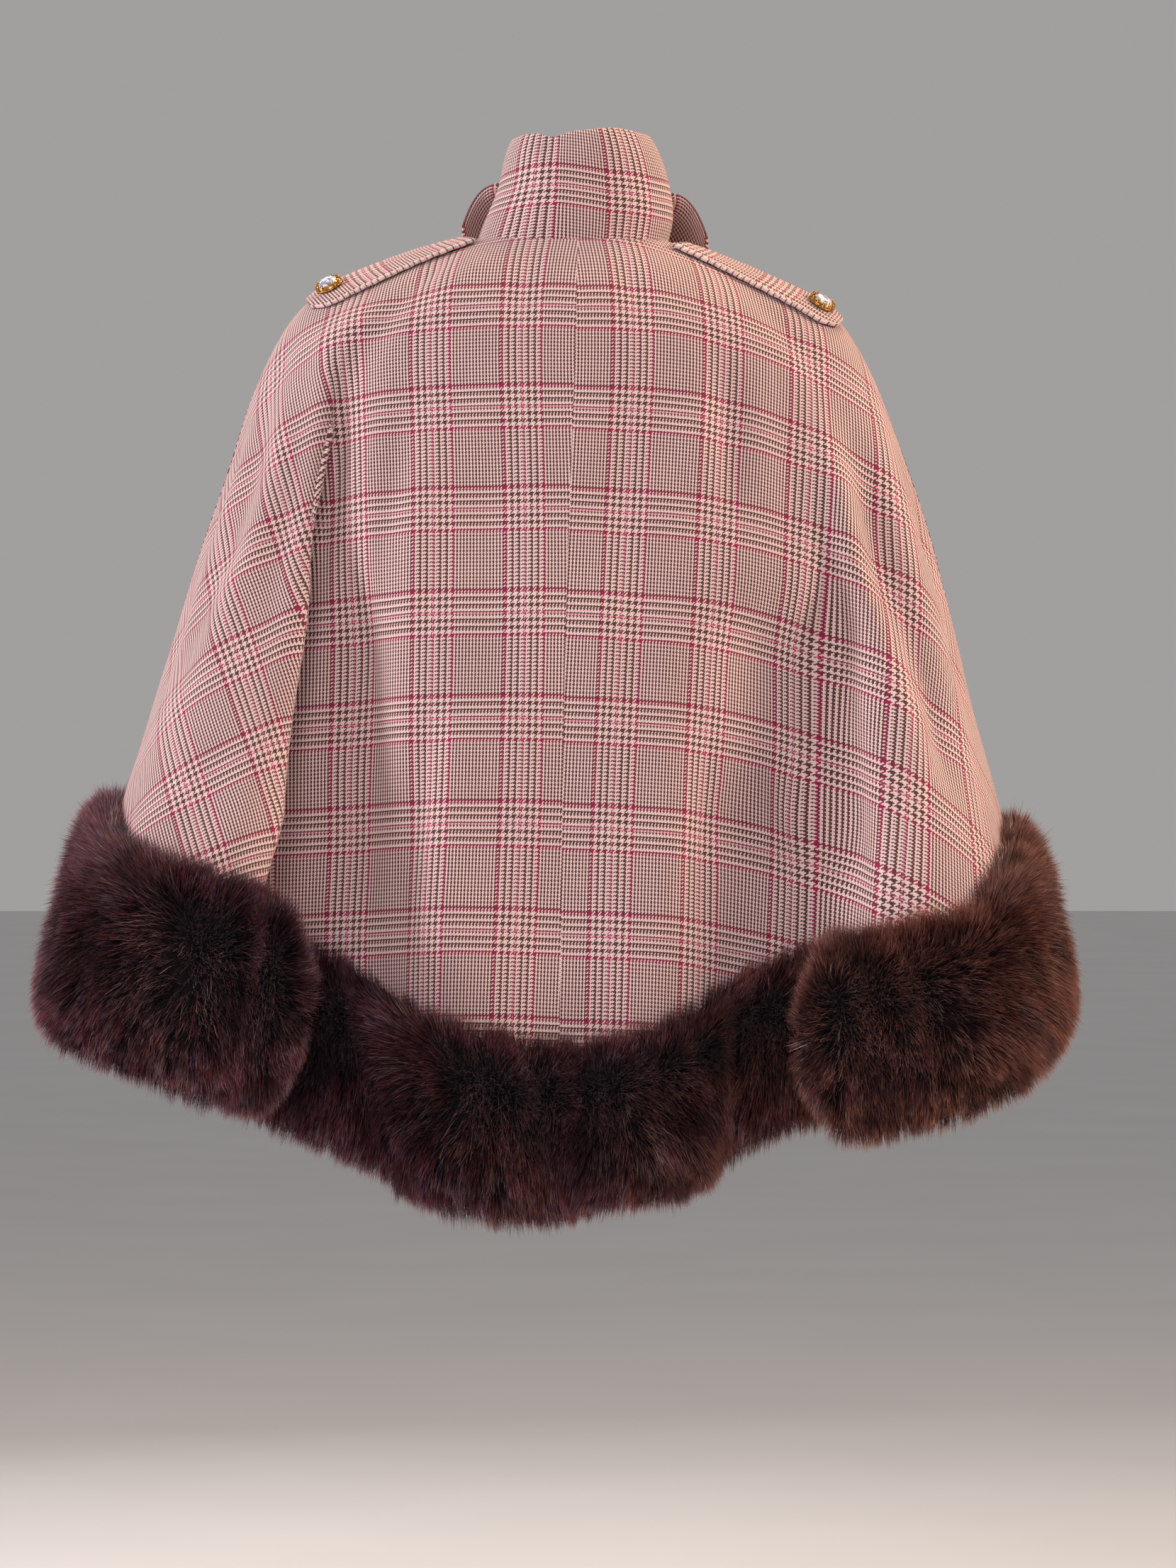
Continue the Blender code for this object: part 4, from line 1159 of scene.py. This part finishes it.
def make_strap(side, seam, start, end, half):
    middle, down, reach, length = strap_form(seam, start, end, half)
    turn = np.radians(np.linspace(0, 360, STRAP_AROUND + 1))[:-1]
    beside, tall = signed_power(np.cos(turn), 0.35), signed_power(np.sin(turn), 0.55)
    places = middle + beside[:, None] * reach[None, :]
    base, facing = np.empty((*places.shape, 3)), np.empty((*places.shape, 3))
    for k in range(STRAP_ROWS):
        base[:, k] = cloth(places[:, k], [down[k]])[:, 0]
        facing[:, k] = cloth_normals(places[:, k], [down[k]])[:, 0]
    edge = np.abs(beside) > 0.9
    wobble = 0.25 * MM * np.sin(length / (2.3 * MM))[None, :] * edge[:, None]
    lift = STRAP_LIFT + STRAP_CLOTH / 2 * (1 + tall)[:, None] + wobble
    tube = base + facing * lift[..., None]
    ids = np.arange(STRAP_AROUND * STRAP_ROWS).reshape(STRAP_AROUND, STRAP_ROWS)
    ends = [ids[:, 0].tolist(), ids[::-1, -1].tolist()]
    faces = quads(np.vstack([ids, ids[:1]])).tolist() + ends
    maps = strap_maps(tube, length, edge, ends)
    obj = cloth_object("tweed_strap_" + side, tube.reshape(-1, 3), faces, maps)
    finish_piece(obj, "epaulette_" + side, "tweed_double", tweed_material("tweed_strap_" + side))
    top = STRAP_AROUND // 4
    near = int(np.argmin(np.abs(length[-1] - length - BUTTON_FROM_END)))
    axis = facing[top, near]
    make_button(side, base[top, near] + axis * (STRAP_LIFT + STRAP_CLOTH), axis)


# A bezel's cup, ropes and claws, in mm: places are radius and height.
CUP = (
    (0, 1.4), (8.4, 1.4), (9.0, 2.0), (9.0, 3.9), (9.5, 4.2),
    (10.4, 3.6), (11.0, 2.3), (10.1, 0.5), (9.0, 0.1), (0, 0.1),
)
CUP_SIDES = 48
ROPES = (
    # radius thick height sides twist
    (10.6,   0.75,  1.3,   72,  0.22),
    (9.7,    0.5,   4.1,   60,  0.15),
)
ROPE_TUBE = 8
CLAWS, CLAW_SIDES = 12, 8
CLAW = (
    # radius height half width
    (10.5,   0.8,   0.85),
    (10.9,   2.6,   0.8),
    (10.3,   4.4,   0.75),
    (9.3,    5.6,   0.8),
    (8.3,    6.1,   0.6),
    (7.9,    6.1,   0.1),
)
STONE = (
    # radius height turned corners
    (8.6,    2.4,   0.0,   16),
    (8.6,    3.6,   0.5,   16),
    (7.7,    5.0,   0.0,   16),
    (5.9,    6.5,   0.5,   16),
    (3.5,    7.5,   0.0,   8),
    (1.6,    7.9,   0.5,   8),
)


def circle(mesh, radius, height, turned, count):
    """Points of a level circle, or its one middle point where it has no radius."""
    angles = [2 * math.pi * (k + turned) / count for k in range(count if radius else 1)]
    radius, height = radius * MM, height * MM
    return [mesh.verts.new((radius * math.cos(a), radius * math.sin(a), height)) for a in angles]


def join_circles(mesh, one, two):
    count = max(len(one), len(two))
    for k in range(count):
        n = (k + 1) % count
        if len(one) == 1:
            mesh.faces.new((one[0], two[n], two[k]))
        elif len(two) == 1:
            mesh.faces.new((one[k], one[n], two[0]))
        else:
            mesh.faces.new((one[k], one[n], two[n], two[k]))


def add_rope(mesh, radius, thick, height, sides, twist):
    """A ring of round wire; twist makes it rope."""
    rings = []
    for k in range(sides):
        a = 2 * math.pi * k / sides
        bulge = thick * (1 + twist * math.cos(k * math.pi))
        ring = []
        for m in range(ROPE_TUBE):
            b = 2 * math.pi * m / ROPE_TUBE
            r = radius + bulge * math.cos(b)
            place = Vector((r * math.cos(a), r * math.sin(a), height + bulge * math.sin(b)))
            ring.append(mesh.verts.new(place * MM))
        rings.append(ring)
    for k in range(sides):
        one, two = rings[k], rings[(k + 1) % sides]
        for m in range(ROPE_TUBE):
            n = (m + 1) % ROPE_TUBE
            mesh.faces.new((one[m], two[m], two[n], one[n]))


def add_claw(mesh, angle):
    across, up = Vector((math.cos(angle), math.sin(angle), 0)), Vector((0, 0, 1))
    side = across.cross(up)
    rings = []
    for n, (r, z, w) in enumerate(CLAW):
        centre = across * r * MM + up * z * MM
        after, before = CLAW[min(n + 1, len(CLAW) - 1)], CLAW[max(n - 1, 0)]
        way = (across * (after[0] - before[0]) + up * (after[1] - before[1])).normalized()
        normal = way.cross(side)
        angles = (2 * math.pi * m / CLAW_SIDES for m in range(CLAW_SIDES))
        rings.append([
            mesh.verts.new(centre + (side * math.cos(b) + normal * math.sin(b)) * w * MM) for b in angles
        ])
    for one, two in zip(rings, rings[1:]):
        join_circles(mesh, one, two)
    mesh.faces.new(rings[0])
    mesh.faces.new(rings[-1][::-1])


def add_facets(mesh, one, two):
    """Facets between two levels of a stone, of which the upper has as many corners or half."""
    n, m = len(one), len(two)
    if n == m:
        for k in range(n):
            mesh.faces.new((one[k], one[(k + 1) % n], two[k]))
            mesh.faces.new((one[(k + 1) % n], two[(k + 1) % n], two[k]))
        return
    for k in range(m):
        a, b, c = one[2 * k], one[(2 * k + 1) % n], one[(2 * k + 2) % n]
        mesh.faces.new((a, b, two[k]))
        mesh.faces.new((b, c, two[k]))
        mesh.faces.new((c, two[(k + 1) % m], two[k]))


def finish_jewel(mesh, turn, part, side, slot, material):
    bmesh.ops.recalc_face_normals(mesh, faces=mesh.faces)
    mesh.transform(turn)
    data = bpy.data.meshes.new(f"{part}_{side}")
    mesh.to_mesh(data)
    mesh.free()
    finish_piece(place_object(f"jewel_{part}_{side}", data), f"{part}_{side}", slot, material)
    return data


def make_button(side, place, axis):
    """A bezel of a cup, rope rings and claws, round a faceted stone."""
    turn = Vector(axis).to_track_quat("Z", "X").to_matrix().to_4x4()
    turn.translation = Vector(place)
    bezel = bmesh.new()
    spun = [circle(bezel, radius, height, 0, CUP_SIDES) for radius, height in CUP]
    for one, two in zip(spun, spun[1:]):
        join_circles(bezel, one, two)
    for rope in ROPES:
        add_rope(bezel, *rope)
    for k in range(CLAWS):
        add_claw(bezel, 2 * math.pi * (k + 0.5) / CLAWS)
    data = finish_jewel(bezel, turn, "bezel", side, "gold", gold_material())
    data.shade_smooth()
    data.set_sharp_from_angle(angle=math.radians(50))
    stone = bmesh.new()
    levels = [circle(stone, *level) for level in STONE]
    stone.faces.new(levels[0][::-1])
    for one, two in zip(levels, levels[1:]):
        add_facets(stone, one, two)
    stone.faces.new(levels[-1])
    finish_jewel(stone, turn, "stone", side, "stone", stone_material())


# Fur

FUR_OUT, FUR_IN = 21 * MM, 17 * MM
FUR_STEP = 12 * MM
FUR_EASE = 8 * MM
FUR_POWER = 0.8
SLOPE_FROM = 5.4  # how far down the cloth's slope at the hem is measured from
CORE_THICK, CORE_SHORT = 0.42, 11 * MM
FREE_STEPS = (0.2, 0.34, 0.46, 0.58, 0.68, 0.78, 0.86, 0.92, 0.97, 1.0)
FREE_LENGTH = 32 * MM
JOINED_LENGTH = 14 * MM

SKIN_SIDES, SKIN_STEP = 20, 9 * MM
SKIN_TAPER = 16 * MM
CLUMP_HAIRS = 14
CLUMP_SPREAD, CLUMP_TURN = 3.6 * MM, 0.12
FIRST_SEED = 40

# Corners of a hair's stem and of its point: across, and along from root to tip.
STEM = ((0, 0.0), (0, 0.5), (1, 0.5), (1, 0.0))
POINT = ((0, 0.5), (0.5, 1.0), (1, 0.5))
CELL_PAD = 0.12


def fur_path(start, end, lead, tail):
    """A length of fur's middle line, with its directions, thickness and height."""
    low, high = LINE.span(start, end)
    s = np.linspace(low, high, max(3, round((high - low) / FUR_STEP)) + 1)
    slope = unit(cloth(s, [FULL_LENGTH])[:, 0] - cloth(s, [SLOPE_FROM])[:, 0])
    along = LINE.points(s + FUR_EASE) - LINE.points(s - FUR_EASE)
    line = [LINE.points(s), slope, LINE.read(s)["fur"] * MM, along]
    shares = np.array(FREE_STEPS)[:, None]
    for extra, at in ((lead, 0), (tail, -1)):
        if extra is None:
            continue
        points, slope, height, _ = line
        way = np.array(extra) * MM - points[at]
        rest = (slope[[at]], height[[at]], (way if at else -way)[None])
        more = [points[at] + way * shares] + [np.repeat(values, len(shares), 0) for values in rest]
        line = [np.concatenate([had, new] if at else [new[::-1], had]) for new, had in zip(more, line)]
    points, slope, height, along = line
    along = unit(along * [1, 1, 0])
    outward = np.stack([-along[:, 1], along[:, 0], np.zeros(len(along))], axis=-1)
    outward = unit(outward - slope * np.sum(outward * slope, axis=-1, keepdims=True))
    length = lengths(points)
    thin, short = np.ones(len(points)), np.ones(len(points))
    for free, left in ((lead, length), (tail, length[-1] - length)):
        if free is None:
            thin *= 0.84 + 0.16 * np.clip(left / JOINED_LENGTH, 0, 1) ** 0.5
            continue
        round_end = np.sqrt(1 - (1 - np.clip(left / FREE_LENGTH, 0, 1)) ** 2)
        thin *= 0.25 + 0.75 * round_end
        short *= 0.45 + 0.55 * round_end
    middle = points + slope * (height / 2 + SEAM_GAP)[:, None] + outward * (FUR_OUT - FUR_IN) / 2
    return {
        "middle": middle, "slope": slope, "outward": outward, "along": along, "length": length,
        "thick": (FUR_OUT + FUR_IN) / 2 * thin, "tall": height / 2 * short,
    }


def read_path(path, at):
    """The path's values at distances along it."""
    found = {}
    for key, values in path.items():
        if key == "length":
            continue
        flat = values.reshape(len(values), -1)
        read = np.stack([np.interp(at, path["length"], column) for column in flat.T], axis=-1)
        found[key] = read if values.ndim > 1 else read[:, 0]
    for key in ("slope", "outward", "along"):
        found[key] = unit(found[key])
    return found


def section(angle, thick, tall):
    """Offsets outward and down, and the facing, on a fur roll's rounded section."""
    c, s = np.cos(angle), np.sin(angle)
    out = thick * signed_power(s, FUR_POWER)
    fall = -tall * signed_power(c, FUR_POWER)
    power = FUR_POWER * (2 / FUR_POWER - 1)
    n_out = signed_power(s, power) / thick
    n_fall = -signed_power(c, power) / tall
    size = np.sqrt(n_out**2 + n_fall**2)
    return out, fall, n_out / size, n_fall / size


def skin_section(path, at, angle, free):
    """Offsets and facings on the skin, which narrows towards a free end."""
    here = read_path(path, at)
    ends = np.ones(len(at))
    for is_free, left in zip(free, (at, path["length"][-1] - at)):
        if is_free:
            ends *= np.clip(left / SKIN_TAPER, 0.25, 1) ** 0.5
    thick, tall = here["thick"] * CORE_THICK * ends, (here["tall"] - CORE_SHORT) * ends
    if angle.ndim > 1:
        thick, tall = thick[:, None], tall[:, None]
    return here, section(angle, thick, tall)


def make_skin(path, free):
    """The points and faces of the skin that the hair grows from."""
    total = path["length"][-1]
    at = np.linspace(0, total, max(8, round(total / SKIN_STEP)))
    angles = np.linspace(0, 2 * math.pi, SKIN_SIDES, endpoint=False)
    here, (out, fall, _, _) = skin_section(path, at, angles[None], free)
    middle, outward, slope = (here[key][:, None] for key in ("middle", "outward", "slope"))
    skin = middle + outward * out[..., None] + slope * fall[..., None]
    ids = np.arange(len(at) * SKIN_SIDES).reshape(len(at), SKIN_SIDES)
    return skin.reshape(-1, 3), quads(np.concatenate([ids, ids[:, :1]], axis=1))


def make_fur(name, start, end, lead, tail, hairs, hair, core, seed):
    """One length of fur: clumps, then the hairs of each, drawn partly towards their clump's own hair."""
    rng = np.random.default_rng(seed)
    path = fur_path(start, end, lead, tail)
    total = path["length"][-1]
    free = (lead is not None, tail is not None)
    skin = make_skin(path, free)
    clumps = hairs // CLUMP_HAIRS
    clump_at = rng.uniform(0, total, clumps)
    clump_angle = spread_angles(rng, clumps)
    which = rng.integers(0, clumps, hairs)
    at = clump_at[which] + rng.normal(0, CLUMP_SPREAD, hairs)
    at = np.clip(at, 0.5 * MM, total - 0.5 * MM)
    angle = clump_angle[which] + rng.normal(0, CLUMP_TURN, hairs)
    root, tip, bend = hair_lines(path, at, angle, rng, free)
    _, clump_tip, clump_bend = hair_lines(path, clump_at, clump_angle, rng, free)
    pull = (rng.uniform(0.1, 0.5, hairs) - 0.35 * np.clip(np.cos(angle), -1, 0))[:, None]
    tip = tip + (clump_tip[which] - tip) * pull
    bend = bend + (clump_bend[which] - bend) * pull * 0.5
    own = 0.78 * rng.uniform(0, 1, clumps)[which] + 0.22 * rng.uniform(0, 1, hairs)
    build_hair(name, (root, bend, tip), own, rng, skin, (core, hair))


def spread_angles(rng, count):
    """Places round the section: most hair faces outward and down."""
    angle = rng.uniform(0, 2 * math.pi, count * 3)
    keep = rng.uniform(0, 1, count * 3) < np.where(np.sin(angle) > -0.2, 1.0, 0.3)
    return angle[keep][:count] if keep.sum() >= count else angle[:count]


def hair_lines(path, at, angle, rng, free):
    """Root, tip and bending point of each hair."""
    count = len(at)
    here, (out, fall, n_out, n_fall) = skin_section(path, at, angle, free)
    root = here["middle"] + here["outward"] * out[:, None] + here["slope"] * fall[:, None]
    facing = here["outward"] * n_out[:, None] + here["slope"] * n_fall[:, None]
    height = -np.cos(angle)
    swirl = np.sin(at * 53 + 1.7 + height * 2) * 0.16 + np.sin(at * 171 + angle * 3) * 0.14
    swirl = swirl + np.sin(at * 23 + height * 2.3) * 0.2
    lean = np.zeros(count)
    for is_free, left, sign in zip(free, (at, path["length"][-1] - at), (-1, 1)):
        strength, reach = (1, 26 * MM) if is_free else (0.35, 20 * MM)
        lean += sign * strength * np.clip(1 - left / reach, 0, 1)
    side = here["along"] * (swirl + lean * 1.1 + rng.normal(0, 0.16, count))[:, None]
    flow = here["slope"] * (0.75 * height + 0.30 + rng.normal(0, 0.1, count))[:, None]
    way = unit(facing * 0.85 + flow * 0.7 + side * 0.7)
    sink = np.array([0, 0, -1.0]) * rng.uniform(0.1, 0.45, count)[:, None]
    later = unit(way + flow * 1.1 + side * 0.6 + sink)
    length = (25 + 5 * np.clip(height, 0, 1) + rng.normal(0, 3.0, count)) * MM
    length *= np.where(rng.uniform(0, 1, count) < 0.06, 1.2, 1.0)
    half = np.clip(length, 10 * MM, 38 * MM)[:, None] * 0.5
    bend = root + way * half
    return root, bend + later * half, bend


def hair_maps(own, corners):
    """The maps Hair and OFBake of one face of every hair; on OFBake each hair has a cell of its own."""
    count = len(own)
    grid = math.ceil(math.sqrt(count))
    cell = np.stack([np.arange(count) % grid, np.arange(count) // grid], axis=-1)
    hair = [np.stack([own, np.full(count, along)], axis=-1) for _, along in corners]
    bake = [
        (cell + CELL_PAD + (1 - 2 * CELL_PAD) * np.array(corner)) / grid * [1, 0.9] + [0, 0.1]
        for corner in corners
    ]
    return [np.stack(uv, axis=1).reshape(-1, 2) for uv in (hair, bake)]


def skin_maps(columns):
    """The skin's maps Hair, where it has no place, and OFBake."""
    face = np.arange((columns - 1) * SKIN_SIDES)
    r, k = face // SKIN_SIDES, face % SKIN_SIDES
    corners = ((0, 0), (0, 1), (1, 1), (1, 0))
    bake = [np.stack([(r + a) / columns, (k + b) / SKIN_SIDES], axis=-1) for a, b in corners]
    bake = np.stack(bake, axis=1).reshape(-1, 2) * [0.98, 0.08] + 0.01
    return [np.zeros_like(bake), bake]


def faces_mesh(name, points, groups):
    """A mesh from arrays: each group of faces has its own number of corners a face."""
    corners = np.concatenate([group.ravel() for group in groups])
    sizes = np.concatenate([np.full(len(group), group.shape[1]) for group in groups])
    data = bpy.data.meshes.new(name)
    data.vertices.add(len(points))
    data.vertices.foreach_set("co", points.astype(np.float32).ravel())
    data.loops.add(len(corners))
    data.loops.foreach_set("vertex_index", corners.astype(np.int32))
    data.polygons.add(len(sizes))
    data.polygons.foreach_set("loop_start", np.concatenate([[0], np.cumsum(sizes)[:-1]]).astype(np.int32))
    data.update(calc_edges=True)
    return data


def build_hair(name, lines, own, rng, skin, materials):
    """Skin and hairs in one mesh; each hair is a strip of one four-sided face and a pointed one."""
    root, bend, tip = lines
    skin_points, skin_faces = skin
    count = len(root)
    middle = (root + tip) / 4 + bend / 2
    across = unit(np.cross(unit(tip - root), unit(rng.normal(0, 1, (count, 3)))))
    side = across * (rng.uniform(0.34, 0.66, count)[:, None] * MM / 2)
    corners = [root + side, middle + side * 0.85, root - side, middle - side * 0.85, tip]
    points = np.concatenate([skin_points, np.stack(corners, axis=1).reshape(-1, 3)])
    first = np.arange(count)[:, None] * len(corners) + len(skin_points)
    data = faces_mesh("fur_" + name, points, (skin_faces, first + [0, 1, 3, 2], first + [1, 4, 3]))
    parts = (skin_maps(len(skin_points) // SKIN_SIDES), hair_maps(own, STEM), hair_maps(own, POINT))
    for title, uvs in zip(("Hair", "OFBake"), zip(*parts)):
        layer = data.uv_layers.new(name=title)
        layer.data.foreach_set("uv", np.concatenate(uvs).astype(np.float32).ravel())
    slots = np.ones(len(data.polygons), dtype=np.int32)
    slots[: len(skin_faces)] = 0
    data.polygons.foreach_set("material_index", slots)
    data.shade_smooth()
    finish_piece(place_object("hair_" + name, data), "fur_" + name, "fur", *materials)


# The set

SENSOR = 36
FLOOR_Z, FLOOR_RADIUS, FLOOR_SIDES = -1.42, 40, 96
SKY, SKY_STRENGTH = (1.0, 0.97, 0.96, 1), 0.36
AIM = (0, 0.05, -0.35)
LIGHTS = (
    # name     x      y      z      size  power  colour
    ("right", -3.4,   0.45,  1.1,   0.9, 116,   (1.0, 0.76, 0.58)),
    ("left",   3.4,   0.70,  0.80,  0.8,  98,   (1.0, 0.92, 0.96)),
    ("camera", 1.2,   4.8,   1.5,   2.0,  74,   (1.0, 0.89, 0.89)),
    ("low",    0.3,   3.2,  -1.3,   1.2,  11,   (0.62, 0.70, 1.0)),
    ("top",   -0.8,  -0.9,   2.7,   1.4,  60,   (1.0, 0.68, 0.44)),
    ("front",  0.9,  -3.2,   0.9,   2.2,  36,   (1.0, 0.96, 0.93)),
)


def add_camera():
    data = bpy.data.cameras.new("camera")
    data.sensor_fit = "AUTO"
    data.sensor_width = SENSOR
    data.lens = SENSOR * AWAY / (PHOTO_HIGH * PIXEL)
    data.clip_end = 100
    camera = place_object("camera", data)
    camera.location = (CAMERA_X, PLANE_Y + AWAY, CAMERA_Z)
    camera.rotation_euler = (math.pi / 2, 0, math.pi)
    bpy.context.scene.camera = camera


def add_floor():
    mesh = bmesh.new()
    bmesh.ops.create_circle(mesh, cap_ends=True, radius=FLOOR_RADIUS, segments=FLOOR_SIDES)
    data = bpy.data.meshes.new("floor")
    mesh.to_mesh(data)
    mesh.free()
    floor = place_object("floor", data)
    floor.location = (0, 0, FLOOR_Z)
    data.materials.append(floor_material())


def add_lights():
    world = bpy.data.worlds.new("studio")
    world.use_nodes = True
    sky = world.node_tree.nodes["Background"]
    sky.inputs["Color"].default_value = SKY
    sky.inputs["Strength"].default_value = SKY_STRENGTH
    bpy.context.scene.world = world
    bpy.context.scene.view_settings.view_transform = "Standard"
    for name, x, y, z, size, power, colour in LIGHTS:
        lamp = bpy.data.lights.new(name, "AREA")
        lamp.shape = "DISK"
        lamp.size = size
        lamp.energy = power
        lamp.color = colour
        light = place_object(name, lamp)
        light.location = (x, y, z)
        light.rotation_euler = (Vector(AIM) - Vector((x, y, z))).to_track_quat("-Z", "Y").to_euler()


add_camera()
add_floor()
add_lights()
dress_panels()
make_collar()
for wing in WINGS:
    make_wing(*wing)
for strap in STRAPS:
    make_strap(*strap)
hair, core = fur_material(), core_material()
for number, row in enumerate(FUR_LENGTHS):
    make_fur(*row, hair, core, FIRST_SEED + number)
